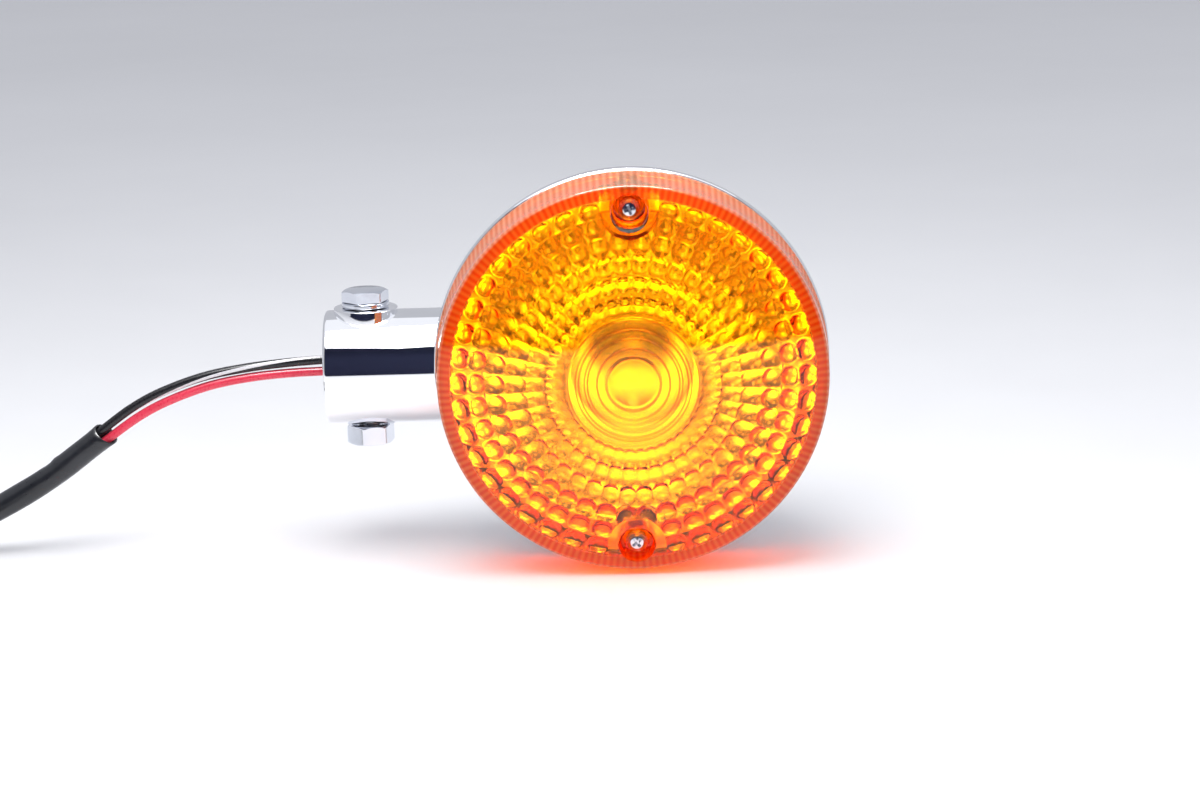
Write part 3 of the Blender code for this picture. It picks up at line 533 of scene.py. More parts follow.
def smooth_route(points, spacing):
    """Points at even spacing along a Catmull-Rom curve through the given points."""
    knots = [Vector(point) for point in points]
    knots = [2 * knots[0] - knots[1]] + knots + [2 * knots[-1] - knots[-2]]
    fine = []
    for before, start, end, after in zip(knots, knots[1:], knots[2:], knots[3:]):
        for step in range(24):
            t = step / 24
            fine.append(0.5 * (2 * start + (end - before) * t
                               + (2 * before - 5 * start + 4 * end - after) * t ** 2
                               + (3 * start - before - 3 * end + after) * t ** 3))
    fine.append(knots[-2])
    lengths = distances_along(fine)
    count = max(2, round(lengths[-1] / spacing))
    evened, index = [], 0
    for step in range(count + 1):
        wanted = lengths[-1] * step / count
        while index < len(lengths) - 2 and lengths[index + 1] < wanted:
            index += 1
        share = (wanted - lengths[index]) / (lengths[index + 1] - lengths[index])
        evened.append(fine[index].lerp(fine[index + 1], share))
    return evened


def carried_frames(points):
    """Side and upward directions at each point of a path, carried along it without twisting."""
    frames = []
    side = None
    for index in range(len(points)):
        ahead = points[min(index + 1, len(points) - 1)]
        behind = points[max(index - 1, 0)]
        along = (ahead - behind).normalized()
        if side is None:
            side = along.cross(Vector((0, 0, 1)))
            if side.length < 0.1:
                side = along.cross(Vector((0, 1, 0)))
        side = (side - along * side.dot(along)).normalized()
        frames.append((side, side.cross(along)))
    return frames


def sweep(name, points, section, material, sharp=50.0, shape=None):
    """A closed section of (across, up) points carried along a path, with both ends filled.

    shape(distance, angle) gives a factor that swells or pinches the section.
    """
    work = bmesh.new()
    around = work.loops.layers.uv.new("around")
    rings, distances = [], distances_along(points)
    for point, travelled, (side, up) in zip(points, distances, carried_frames(points)):
        ring = []
        for across, rise in section:
            factor = shape(travelled, math.atan2(rise, across)) if shape else 1.0
            ring.append(work.verts.new(point + (side * across + up * rise) * factor))
        rings.append(ring)
    count = len(section)
    for row, (first, second) in enumerate(zip(rings, rings[1:])):
        for step in range(count):
            nxt = (step + 1) % count
            face = work.faces.new((first[step], first[nxt], second[nxt], second[step]))
            corners = ((row, step), (row, step + 1), (row + 1, step + 1), (row + 1, step))
            for loop, (at, turn) in zip(face.loops, corners):
                loop[around].uv = (distances[at], turn / count)
    work.faces.new(rings[0])
    work.faces.new(rings[-1])
    return piece_from(work, name, material, sharp)


def circle(radius, steps):
    points = []
    for step in range(steps):
        angle = 2 * math.pi * step / steps
        points.append((radius * math.cos(angle), radius * math.sin(angle)))
    return points


def hollow_sweep(name, points, outer, inner, material, steps=40, shape=None):
    """An open tube along a path, with a wall and a softly rounded rim at both ends."""
    work = bmesh.new()
    frames = carried_frames(points)
    distances = distances_along(points)
    last = len(points) - 1
    rim = (outer + inner) / 2
    rows = [(0, rim)] + [(index, outer) for index in range(last + 1)]
    rows += [(last, rim)] + [(index, inner) for index in range(last, -1, -1)]
    rings = []
    for index, radius in rows:
        side, up = frames[index]
        along = (points[min(index + 1, last)] - points[max(index - 1, 0)]).normalized()
        reach = 0.0
        if radius == rim:
            reach = 0.0002 if index else -0.0002
        ring = []
        for step in range(steps):
            angle = 2 * math.pi * step / steps
            swell = shape(distances[index], angle) if shape else 1.0
            offset = (side * math.cos(angle) + up * math.sin(angle)) * radius * swell
            ring.append(work.verts.new(points[index] + offset + along * reach))
        rings.append(ring)
    for first, second in zip(rings, rings[1:] + rings[:1]):
        bridge(work, first, second)
    return piece_from(work, name, material, 60.0)


def threaded(name, radius, low, high, pitch, depth, axis, material, segments=40):
    """A shank with a helical thread and a tapered end at both stations."""
    work = bmesh.new()
    rows = max(8, round((high - low) / pitch * 8))
    rings = [[work.verts.new(on_axis(axis, 0.0, 0.0, low))]]
    for row in range(rows + 1):
        along = low + (high - low) * row / rows
        from_end = min(along - low, high - along)
        limit = radius - max(0.0, depth * 1.5 - from_end)

        def place(angle, along=along, limit=limit):
            phase = (along / pitch - angle / (2 * math.pi)) % 1.0
            return min(limit, radius - depth * abs(2 * phase - 1)), along

        rings.append(row_of(work, axis, segments, place))
    rings.append([work.verts.new(on_axis(axis, 0.0, 0.0, high))])
    for first, second in zip(rings, rings[1:]):
        bridge(work, first, second)
    return piece_from(work, name, material, 75.0)


# ---------------------------------------------------------------- the free lead
RED_ROUTE = [
    (0.0241, 0.0016, -0.0016), (0.0200, 0.0030, -0.0018), (0.0140, 0.0048, -0.0019),
    (0.0099, 0.0052, -0.0019), (0.0050, 0.0050, -0.0018), (0.0000, 0.0045, -0.0018),
    (-0.0100, 0.0040, -0.0020), (-0.0200, 0.0034, -0.0028), (-0.0297, 0.0030, -0.0046),
    (-0.0395, 0.0027, -0.0080), (-0.0463, 0.0024, -0.0114), (-0.0527, 0.0022, -0.0157)]
BLACK_ROUTE = [
    (0.0241, 0.0016, 0.0014), (0.0200, 0.0030, 0.0014), (0.0140, 0.0048, 0.0014),
    (0.0099, 0.0052, 0.0014), (0.0050, 0.0050, 0.0013), (0.0000, 0.0045, 0.0011),
    (-0.0100, 0.0040, 0.0006), (-0.0200, 0.0034, -0.0003), (-0.0303, 0.0030, -0.0021),
    (-0.0405, 0.0027, -0.0055), (-0.0477, 0.0024, -0.0091), (-0.0542, 0.0022, -0.0136)]
SLEEVE_ROUTE = [
    (-0.0538, 0.0022, -0.0149), (-0.0600, 0.0021, -0.0195), (-0.0665, 0.0020, -0.0243),
    (-0.0720, 0.0020, -0.0279), (-0.0780, 0.0020, -0.0313), (-0.0840, 0.0020, -0.0345),
    (-0.0900, 0.0020, -0.0374), (-0.0960, 0.0020, -0.0397), (-0.1010, 0.0020, -0.0408),
    (-0.1080, 0.0020, -0.0417)]
RED_END = [(0.0025, 0.0168, 0.0025), (-0.0012, 0.0148, 0.0025), (-0.0038, 0.0123, 0.0029)]
BLACK_END = [(0.0055, 0.0136, 0.0025), (0.0030, 0.0105, 0.0025), (0.0016, 0.0063, 0.0029)]
RED_LENGTH = 0.361
BLACK_LENGTH = 0.347


def sleeve_centre_line():
    """From the sleeve's mouth down to the surface, once round the coil and in along its curl."""
    points = [Vector(point) for point in SLEEVE_ROUTE]
    height = FLOOR + SLEEVE_R
    for step in range(28):
        angle = math.radians(90 + 270 * step / 27)
        points.append(Vector((COIL_X + COIL_R * math.cos(angle), COIL_Y + COIL_R * math.sin(angle), height)))
    curl_x = COIL_X + COIL_R - CURL_R
    for step in range(1, 12):
        angle = CURL_END * step / 11
        points.append(Vector((curl_x + CURL_R * math.cos(angle), COIL_Y + CURL_R * math.sin(angle), height)))
    return smooth_route(points, 0.0015)


def wire_line(route, centre_line, side, ending):
    """A wire's whole way: from the grommet to the sleeve, inside it, and out to its connector.

    Inside, the pair lies one over the other at the mouth and side by side at the far end.
    """
    inside = []
    last = len(centre_line) - 1
    for index in range(5, last, 4):
        along = (centre_line[index + 1] - centre_line[index - 1]).normalized()
        outward = along.cross(Vector((0, 0, 1))).normalized()
        down = along.cross(outward)
        turn = 0.5 * math.pi * index / last
        offset = down * math.cos(turn) + outward * math.sin(turn)
        inside.append(centre_line[index] + offset * side * 0.0012)
    end = [Vector((COIL_X + x, COIL_Y + y, FLOOR + z)) for x, y, z in ending]
    return smooth_route([Vector(point) for point in route] + inside + end, 0.0015)


MOUTH_BLEND = 0.0070          # length over which the slanted end blends into the tube
MOUTH_SLANT = 0.80            # rise of the cut over the tube's width


def sleeve_shape(distance, angle):
    """Slightly uneven soft tubing, with its fold a little way behind the mouth."""
    fold = math.exp(-((distance - 0.0150) / 0.0011) ** 2) * 0.06
    pinch = -math.exp(-((distance - 0.0172) / 0.0013) ** 2) * 0.07
    mouth = 0.05 * math.exp(-distance / 0.0030)
    waves = 0.012 * math.sin(distance * 410 + 2 * angle)
    return 1.0 + (fold + pinch) * (0.5 + 0.5 * math.sin(angle)) + mouth + waves


def slant_mouth(sleeve, line):
    """Cut the sleeve's end back on its upper front side, so that its inside shows."""
    inward = (line[1] - line[0]).normalized()
    facing = Vector((0.0, -0.75, 0.66))
    facing = (facing - inward * facing.dot(inward)).normalized()
    for vertex in sleeve.data.vertices:
        place = vertex.co - line[0]
        depth = place.dot(inward)
        if place.length < 2.5 * SLEEVE_R and depth < MOUTH_BLEND:
            share = 1.0 - max(depth, 0.0) / MOUTH_BLEND
            vertex.co += inward * share * MOUTH_SLANT * (place.dot(facing) + SLEEVE_R) / 2


def make_lead():
    sleeve_line = sleeve_centre_line()
    sleeve = hollow_sweep("lead_sleeve", sleeve_line, SLEEVE_R, SLEEVE_R - 0.0005, SLEEVE_PVC,
                          shape=sleeve_shape)
    slant_mouth(sleeve, sleeve_line)
    stand_for(sleeve, "root", "sleeve_pvc", "sleeve_lead", "sleeve_coil", "sleeve_end")
    for color, route, side, ending, heading, length, material in (
            ("red", RED_ROUTE, 1, RED_END, 235, RED_LENGTH, RED_PVC),
            ("black", BLACK_ROUTE, -1, BLACK_END, 255, BLACK_LENGTH, TRACER_PVC)):
        line = wire_line(route, sleeve_line, side, ending)
        wire = sweep(color + "_wire", line, circle(WIRE_R, 24), material)
        stand_for(wire, "root", color + "_pvc", color + "_wire_lead", color + "_wire_end")
        boot, bullet = make_connector(color, line[-1], math.radians(heading))


def make_connector(color, start, heading):
    """A bullet connector: a ribbed insulating boot and a brass bullet with its snap groove."""
    along = Vector((math.cos(heading), math.sin(heading), 0))
    side = Vector((-along.y, along.x, 0))
    axis = (start + along * GAP, side, Vector((0, 0, 1)), along)
    body = [(0, 0), (0.0017, 0.0), (0.0019, 0.0030), (BOOT_R - 0.0002, 0.0060)]
    for rib in range(5):
        station = 0.0072 + rib * 0.0022
        body += [(BOOT_R - 0.0002, station), (BOOT_R, station + 0.0003), (BOOT_R, station + 0.0011),
                 (BOOT_R - 0.0002, station + 0.0014)]
    body += [(BOOT_R, BOOT_LENGTH - 0.0010), (BOOT_R, BOOT_LENGTH), (0, BOOT_LENGTH)]
    boot = lathe(color + "_boot", rounded(body, 0.0003), axis, BOOT_PVC, 64)
    stand_for(boot, "root", "boot_pvc", color + "_connector_boot")
    neck, base = BULLET_R * 0.72, BOOT_LENGTH + GAP
    outline = [(0, base), (BULLET_R, base), (BULLET_R, base + 0.0026), (neck, base + 0.0034),
               (neck, base + 0.0042), (BULLET_R, base + 0.0050), (BULLET_R, base + BULLET_LENGTH - 0.0015),
               (BULLET_R * 0.5, base + BULLET_LENGTH - 0.0003), (0, base + BULLET_LENGTH)]
    bullet = lathe(color + "_bullet_tip", rounded(outline, 0.0003), axis, BRASS, 64)
    stand_for(bullet, "root", "brass", color + "_bullet")
    return boot, bullet


# ---------------------------------------------------------------- housing
def make_housing():
    lip = [(0.0, LIP_FRONT)] + arc(LIP_R - 0.0008, LIP_FRONT - 0.0008, 0.0008, 90, 0, 6)
    lip += arc(LIP_R - 0.0002, LIP_FRONT - 0.0022, 0.0002, 0, -80, 3) + [(BOWL_R, LIP_FRONT - 0.0027)]
    outline = lip + bowl_curve(BOWL_R, LIP_FRONT - 0.0028, BOWL_BACK, 2.15, 48)[1:]
    housing = lathe("housing_casting", outline, LENS_AXIS, CHROME, 192)

    edge = 0.0009
    stem = [(0, 0), (STEM_R - edge, 0)] + arc(STEM_R - edge, edge, edge, -90, 0, 8)[1:]
    stem += [(STEM_R, 0.0300), (STEM_R + 0.0002, 0.0320), (STEM_R + 0.0008, 0.0340),
             (STEM_R + 0.0018, 0.0358), (0, 0.0440)]
    combine(housing, lathe("stem", stem, STEM_AXIS, None, 160), "UNION")
    boss_top = arc(BOSS_R - 0.0003, BOSS_FACE - 0.0003, 0.0003, 90, 0, 4)
    boss = [(0, BOSS_FACE)] + boss_top + [(BOSS_R, 0.0100), (0, 0.0100)]
    combine(housing, lathe("boss", boss, BOLT_AXIS, None, 96), "UNION")

    cavity = [(0.0, LIP_FRONT + 0.001), (LIP_INNER_R, LIP_FRONT + 0.001), (LIP_INNER_R, SEAT)]
    cavity += bowl_curve(CAVITY_R, SEAT, BOWL_INNER_BACK, 2.25, 24)
    hollow = lathe("cavity", cavity, LENS_AXIS, None, 120)
    for side in (1, -1):
        post_axis = shifted(LENS_AXIS, 0, side * SCREW_OFFSET)
        combine(hollow, rod("post", 0.0032, BOWL_BACK, SEAT, post_axis, segments=32))
    combine(housing, hollow)
    combine(housing, rod("bore", BORE_R, -0.001, BORE_DEPTH, STEM_AXIS, segments=96))
    combine(housing, rod("web", WEB_HOLE_R, BORE_DEPTH - 0.001, 0.0400, STEM_AXIS, segments=48))
    combine(housing, rod("cross", BOLT_HOLE_R, -0.02, 0.02, BOLT_AXIS, segments=48))
    combine(housing, rod("spot", 0.0064, -0.0160, SPOT_FACE, BOLT_AXIS, segments=64))
    for side in (1, -1):
        pilot_axis = shifted(LENS_AXIS, 0, side * SCREW_OFFSET)
        combine(housing, rod("pilot", SCREW_SHANK_R + GAP, 0.002, SEAT + 0.001, pilot_axis, segments=24))
    smoothed(housing, 32.0)
    stand_for(housing, "root", "chrome", "housing")


# ---------------------------------------------------------------- lens
BEAD_RINGS = (0.0178, 0.0223, 0.0271, 0.0320, 0.0362, 0.0401)
BEAD_REACHES = (0.0024, 0.0025, 0.0026, 0.0025, 0.0024, 0.0022)   # radial half widths
BEADS = 42                   # in each ring
BEAD_HALF = 0.0025           # across, along its ring
BEAD_RISE = 0.0009
FRESNEL_STEPS = ((0.0066, 0.0084, 0.0004), (0.0084, 0.0106, 0.0005), (0.0106, 0.0126, 0.0005),
                 (0.0126, 0.0151, 0.0006))
EYE_R = 0.0058
EYE_RISE = 0.0013
FINE = 720                   # points round the patterned rings
COARSE = 120


def face_height(radius, rim_r, rim):
    """Height of the gently domed face at a radius."""
    return rim + DOME_RISE * (1 - (radius / rim_r) ** 2)


def bead_height(radius, angle):
    """Rise of the bead pattern at a point of the inner face: oval beads that meet ring to ring."""
    pitch = 2 * math.pi / BEADS
    turn = (angle / pitch + 0.5) % 1.0 * pitch - 0.5 * pitch
    across = radius * math.sin(turn)
    best = 0.0
    for ring_r, half in zip(BEAD_RINGS, BEAD_REACHES):
        out = radius * math.cos(turn) - ring_r
        share = (across / BEAD_HALF) ** 2 + (out / half) ** 2
        if share < 1.0:
            best = max(best, BEAD_RISE * (math.sqrt(1.35 - share) - math.sqrt(0.35))
                       / (math.sqrt(1.35) - math.sqrt(0.35)))
    return best


def lens_rows():
    """Rings of the lens from the middle of its face, over the rim and back in to the middle.

    Each is (points round it, place), where place gives (radius, along) at an angle.
    """
    fixed = []
    fillet = 0.0009
    for step in range(1, 20):
        radius = (RIM_R - fillet) * step / 20
        fixed.append((radius, face_height(radius, RIM_R, RIM_FRONT)))
    fixed += arc(RIM_R - fillet, RIM_FRONT - fillet, fillet, 84, 0, 6)
    fixed += arc(FLANGE_R - 0.0003, FLANGE_REAR + 0.0013, 0.0003, 60, 0, 3)
    fixed += [(FLANGE_R, FLANGE_REAR + 0.0003), (FLANGE_R - 0.0003, FLANGE_REAR)]
    rows = [(COARSE, lambda angle, at=at: at) for at in fixed]

    inner_r = RIM_R - RIBBED_WALL + RIB_DEPTH
    wall_rear = FLANGE_R - RIBBED_WALL + RIB_DEPTH
    inner_front = RIM_FRONT - LENS_WALL
    rib_pitch = 2 * math.pi / RIBS
    stations = 6
    for step in range(stations + 1):
        share = step / stations
        along = FLANGE_REAR + (inner_front - 0.0008 - FLANGE_REAR) * share
        base = wall_rear + (inner_r - wall_rear) * share

        def ribbed(angle, base=base, along=along):
            wave = abs(2 * ((angle / rib_pitch) % 1.0) - 1)
            return base - RIB_DEPTH * wave, along

        rows.append((FINE, ribbed))
    edges = [0.5 * (first + second) for first, second in zip(BEAD_RINGS, BEAD_RINGS[1:])]
    edges = [0.0154] + edges + [RIM_R - RIBBED_WALL - 0.0002]
    radii = []
    for low, high in reversed(list(zip(edges, edges[1:]))):
        radii += [high + (low - high) * step / 11 for step in range(11)]
    for radius in radii + [edges[0]]:
        def beaded(angle, radius=radius):
            return radius, face_height(radius, inner_r, inner_front) - bead_height(radius, angle)

        rows.append((FINE, beaded))

    def inner_face(radius, drop):
        return radius, face_height(radius, inner_r, inner_front) - drop

    middle = []
    for low, high, drop in reversed(FRESNEL_STEPS):
        for step in range(6):
            share = step / 5
            middle.append(inner_face(high - 0.00005 + (low + 0.00005 - high) * share, drop * share))
    middle.append(inner_face(0.0065, 0.0))
    middle.append(inner_face(EYE_R + 0.0001, 0.0))
    sphere = (EYE_R ** 2 + EYE_RISE ** 2) / (2 * EYE_RISE)
    for step in range(10):
        radius = EYE_R * (1 - step / 10)
        middle.append(inner_face(radius, math.sqrt(sphere ** 2 - radius ** 2) - (sphere - EYE_RISE)))
    rows += [(COARSE, lambda angle, at=at: at) for at in middle]
    return rows, inner_front + DOME_RISE - EYE_RISE


def screw_block(side):
    """Solid U-shaped boss behind the face round a screw recess, its front buried in the face."""
    outline = []
    steps = 32
    outer = side * (RIM_R - 0.0016)
    outline.append((POCKET_R, outer))
    for step in range(steps + 1):
        angle = math.pi * step / steps
        outline.append((POCKET_R * math.cos(angle), side * (SCREW_OFFSET - POCKET_R * math.sin(angle))))
    outline.append((-POCKET_R, outer))
    work = bmesh.new()
    loops = []
    for front in (False, True):
        loop = []
        for across, up in outline + [(0.0, side * SCREW_OFFSET)]:
            along = RECESS_FLOOR - LENS_WALL
            if front:
                along = face_height(math.hypot(across, up), RIM_R, RIM_FRONT) - 0.0010
            point = LENS_AXIS[0] + Vector((across, -along, up))
            loop.append(work.verts.new(point))
        loops.append(loop)
    rear, front = loops
    count = len(outline)
    for step in range(count):
        nxt = (step + 1) % count
        work.faces.new((rear[step], rear[nxt], front[nxt], front[step]))
        work.faces.new((rear[step], rear[nxt], rear[-1]))
        work.faces.new((front[step], front[nxt], front[-1]))
    return piece_from(work, "screw_block", None)


def make_lens():
    rows, inner_middle = lens_rows()
    work = bmesh.new()
    rings = [[work.verts.new(on_axis(LENS_AXIS, 0, 0, RIM_FRONT + DOME_RISE))]]
    for count, place in rows:
        rings.append(row_of(work, LENS_AXIS, count, place))
    rings.append([work.verts.new(on_axis(LENS_AXIS, 0, 0, inner_middle))])
    for first, second in zip(rings, rings[1:]):
        bridge(work, first, second)
    lens = piece_from(work, "amber_lens", AMBER)
    for side in (1, -1):
        axis = shifted(LENS_AXIS, 0, side * SCREW_OFFSET)
        combine(lens, screw_block(side), "UNION", "MANIFOLD")
        post = rod("lens_post", 0.0045, FLANGE_REAR, RECESS_FLOOR - 0.0005, axis, segments=64)
        combine(lens, post, "UNION", "MANIFOLD")
        hole_r = SCREW_SHANK_R + 0.0004
        way = [(0, 0.0400), (RECESS_R + 0.0010, 0.0400), (RECESS_R + 0.0006, 0.0334), (RECESS_R, 0.0322),
               (RECESS_R, RECESS_FLOOR + 0.0004), (RECESS_R - 0.0004, RECESS_FLOOR), (hole_r, RECESS_FLOOR),
               (hole_r, FLANGE_REAR - 0.002), (0, FLANGE_REAR - 0.002)]
        combine(lens, lathe("recess", way, axis, None, 96), solver="MANIFOLD")
    smoothed(lens, 48.0)
    stand_for(lens, "root", "amber_plastic", "lens")


def make_lens_screws():
    for name, side in (("upper", 1), ("lower", -1)):
        axis = shifted(LENS_AXIS, 0, side * SCREW_OFFSET)
        seat = RECESS_FLOOR + GAP
        head = [(0, seat), (SCREW_HEAD_R, seat), (SCREW_HEAD_R, seat + 0.0008), (0.0023, seat + 0.0015),
                (0.0015, seat + 0.0020), (0, seat + 0.0022)]
        screw = lathe("screw_head_" + name, rounded(head, 0.0002, steps=4), axis, ZINC, 72)
        turn = math.radians(20 if side > 0 else 38)
        combine(screw, cross_cutter(axis, seat, turn))
        smoothed(screw, 35.0)
        stand_for(screw, "root", "zinc_plate", "lens_screw_" + name)
        shank = threaded("screw_shank_" + name, SCREW_SHANK_R, seat - SCREW_LENGTH, seat - 0.00005, 0.0007,
                         0.00032, axis, ZINC, 28)
        stand_for(shank, "root", "zinc_plate")


def cross_cutter(axis, seat, turn):
    """The tapered cross recess that a screwdriver fits."""
    outline_top, outline_low = [], []
    for quarter in range(4):
        for arm, reach in ((0.00038, 0.0016), (0.00038, 0.00055)):
            place = [(reach, -arm), (reach, arm)] if reach > 0.001 else [(arm, arm)]
            for x, y in place:
                angle = math.atan2(y, x) + turn + quarter * math.pi / 2
                outline_top.append((math.hypot(x, y), angle))
                outline_low.append((math.hypot(x * (0.45 if reach > 0.001 else 0.8), y * 0.8), angle))
    work = bmesh.new()
    loops = []
    for outline, along in ((outline_low, seat + 0.0006), (outline_top, seat + 0.0030)):
        loops.append([work.verts.new(on_axis(axis, radius, angle, along)) for radius, angle in outline])
    work.faces.new(loops[0])
    work.faces.new(loops[1])
    for step in range(len(loops[0])):
        nxt = (step + 1) % len(loops[0])
        work.faces.new((loops[0][step], loops[0][nxt], loops[1][nxt], loops[1][step]))
    return piece_from(work, "cross", None)


# ---------------------------------------------------------------- inside the lamp
def make_reflector():
    focal = (DISH_RIM - LAND) / (DISH_RIM_R ** 2 - LAND_R ** 2)
    base = LAND - focal * LAND_R ** 2
    front, back = [], []
    for step in range(25):
        radius = LAND_R + (DISH_RIM_R - LAND_R) * step / 24
        slope = 2 * focal * radius
        length = math.hypot(slope, 1.0)
        front.append((radius, focal * radius ** 2 + base))
        back.append((radius + SHEET * slope / length, focal * radius ** 2 + base - SHEET / length))
    flange_r = LIP_INNER_R - 0.0028
    outline = [(LAND_HOLE_R, LAND)] + front + [(DISH_RIM_R + 0.0006, LIP_FRONT), (flange_r, LIP_FRONT)]
    outline += [(flange_r, SEAT + GAP), (DISH_RIM_R + 0.0013, SEAT + GAP)] + back[-2:0:-1]
    outline += [(LAND_R + 0.0002, LAND - SHEET), (LAND_HOLE_R, LAND - SHEET)]
    reflector = lathe("reflector_dish", outline, LENS_AXIS, MIRROR, 128, closed=True, sharp=25.0)
    screw_hole_r = SCREW_SHANK_R + 0.0005
    places = [(0, SCREW_OFFSET, screw_hole_r, SEAT), (0, -SCREW_OFFSET, screw_hole_r, SEAT),
              (-FIXING_R, 0, 0.0015, LAND), (FIXING_R, 0, 0.0015, LAND), (0, -FIXING_R, 0.0015, LAND)]
    for across, up, radius, station in places:
        axis = shifted(LENS_AXIS, across, up)
        combine(reflector, rod("hole", radius, station - 0.002, station + 0.002, axis, segments=24))
    smoothed(reflector, 25.0)
    stand_for(reflector, "root", "reflector", "reflector")


def make_gasket():
    inner, outer = LIP_INNER_R - 0.0025, LIP_INNER_R - GAP
    outline = [(inner, SEAT + GAP), (outer, SEAT + GAP), (outer, LIP_FRONT), (inner, LIP_FRONT)]
    gasket = lathe("gasket_ring", rounded(outline, 0.0004, closed=True), LENS_AXIS, RUBBER, 160, closed=True)
    stand_for(gasket, "root", "rubber", "lens_gasket")


def make_bulb():
    wall = 0.0005
    neck_r = CAP_R - 0.0008
    neck = CAP_FRONT - 0.0060
    centre = BULB_APEX - BULB_R
    outer = [(neck_r, neck), (neck_r, CAP_FRONT + 0.0008), (0.0077, -0.0005), (0.0096, 0.0030),
             (0.0110, 0.0060)] + arc(0, centre, BULB_R, -28, 90, 24)
    inner = [(neck_r - wall, neck), (neck_r - wall, CAP_FRONT + 0.0008), (0.0072, -0.0003), (0.0091, 0.0032),
             (0.0105, 0.0062)] + arc(0, centre, BULB_R - wall, -28, 90, 24)
    outline = outer[:-1] + [(0, BULB_APEX), (0, BULB_APEX - wall)] + inner[-2::-1]
    glass = lathe("bulb_envelope", outline, LENS_AXIS, GLASS, 96, closed=True)
    stand_for(glass, "bulb", "clear_glass", "bulb_glass")

    outline = [(CAP_R - 0.0004, CAP_FRONT), (CAP_R, CAP_FRONT), (CAP_R, CAP_BACK + 0.0006),
               (CAP_R - 0.0006, CAP_BACK), (0.0056, CAP_BACK), (0.0056, CAP_BACK + 0.0005),
               (CAP_R - 0.0007, CAP_BACK + 0.0007)]
    cap = lathe("bulb_base", rounded(outline, 0.0002, closed=True), LENS_AXIS, BRASS, 96, closed=True)
    stand_for(cap, "bulb", "brass", "bulb_cap")
    for index, side in enumerate((1, -1)):
        origin = on_axis(LENS_AXIS, 0, 0, PIN_STATION)
        pin_axis = (origin, Vector((0, 0, 1)), Vector((0, side, 0)), Vector((-side, 0, 0)))
        outline = [(0, CAP_R - 0.0003), (0.0010, CAP_R - 0.0003), (0.0010, 0.0085), (0, 0.0085)]
        pin = lathe("bulb_pin_%d" % (index + 1), rounded(outline, 0.0002), pin_axis, BRASS, 32)
        stand_for(pin, "bulb", "brass")

    turn_steps, turns = 240, 22
    filament, spread = 0.0130, 0.0030
    coil = []
    for step in range(turn_steps + 1):
        share = step / turn_steps
        angle = 2 * math.pi * turns * share
        sag = 0.0006 * (1 - (2 * share - 1) ** 2)
        coil.append(on_axis(LENS_AXIS, 0, 0, filament - 0.0004 + sag)
                    + Vector(((2 * share - 1) * (spread - 0.0004), 0.00025 * math.sin(angle),
                              0.00025 * math.cos(angle))))
    wire = sweep("bulb_filament_coil", coil, circle(0.00006, 6), TUNGSTEN)
    stand_for(wire, "bulb", "tungsten", "bulb_filament")
    for name, side in (("left", -1), ("right", 1)):
        rise = ((0.0020, 0.0053), (0.0022, 0.0085), (spread, 0.0118), (spread, 0.0130))
        points = smooth_route([LENS_AXIS[0] + Vector((side * x, -h, 0)) for x, h in rise], 0.0005)
        lead = sweep("filament_support_" + name, points, circle(0.0003, 16), TUNGSTEN)
        stand_for(lead, "bulb", "tungsten", "bulb_lead_" + name)
    press = [(0, CAP_FRONT - 0.0060), (0.0052, CAP_FRONT - 0.0060), (0.0045, CAP_FRONT - 0.0010),
             (0.0042, 0.0030), (0.0036, 0.0050), (0, 0.0050)]
    stem = lathe("bulb_glass_stem", rounded(press, 0.0008, steps=5), LENS_AXIS, GLASS, 64)
    stand_for(stem, "bulb", "clear_glass", "bulb_stem")


# ---------------------------------------------------------------- clamp bolt, washer and nut
def hex_radius(angle):
    """Distance to a hexagon's side at an angle, its corners slightly rounded."""
    sharpness = 70
    total = 0.0
    for side in range(3):
        total += abs(math.cos(angle + HEX_TURN - side * math.pi / 3)) ** sharpness
    return HEX_FLATS / 2 / total ** (1 / sharpness)


def hexagon(name, low, high, bore, chamfer_low, material):
    """A hexagon with cone-chamfered corners; a bore makes it a nut."""
    slope = math.tan(math.radians(30))
    face_r = HEX_FLATS / 2 * 0.955
    soft = 0.00012

    def wall(station, away):
        """The chamfer's curved edge on the flats, where the cone meets them."""
        return lambda angle: (hex_radius(angle), station - away * max(
            soft, (hex_radius(angle) - face_r) * slope))

    def flat(radius, station):
        return lambda angle: (radius, station)

    rows = []
    if bore:
        rows += [flat(bore, low + 0.0007), flat(bore + 0.0006, low)]
    if chamfer_low:
        rows += [flat(face_r - soft, low), flat(face_r, low + soft * 0.3), wall(low, -1)]
    else:
        rows += [lambda angle: (hex_radius(angle) - soft, low), lambda angle: (hex_radius(angle), low + soft)]
    rows += [wall(high, 1), flat(face_r, high - soft * 0.3), flat(face_r - soft, high)]
    if bore:
        rows += [flat(bore + 0.0006, high), flat(bore, high - 0.0007)]
    work = bmesh.new()
    rings = [row_of(work, BOLT_AXIS, 360, place) for place in rows]
    if bore:
        rings.append(rings[0])
    else:
        rings = [[work.verts.new(on_axis(BOLT_AXIS, 0, 0, low))]] + rings
        rings.append([work.verts.new(on_axis(BOLT_AXIS, 0, 0, high))])
    for first, second in zip(rings, rings[1:]):
        bridge(work, first, second)
    return piece_from(work, name, material, 28.0)


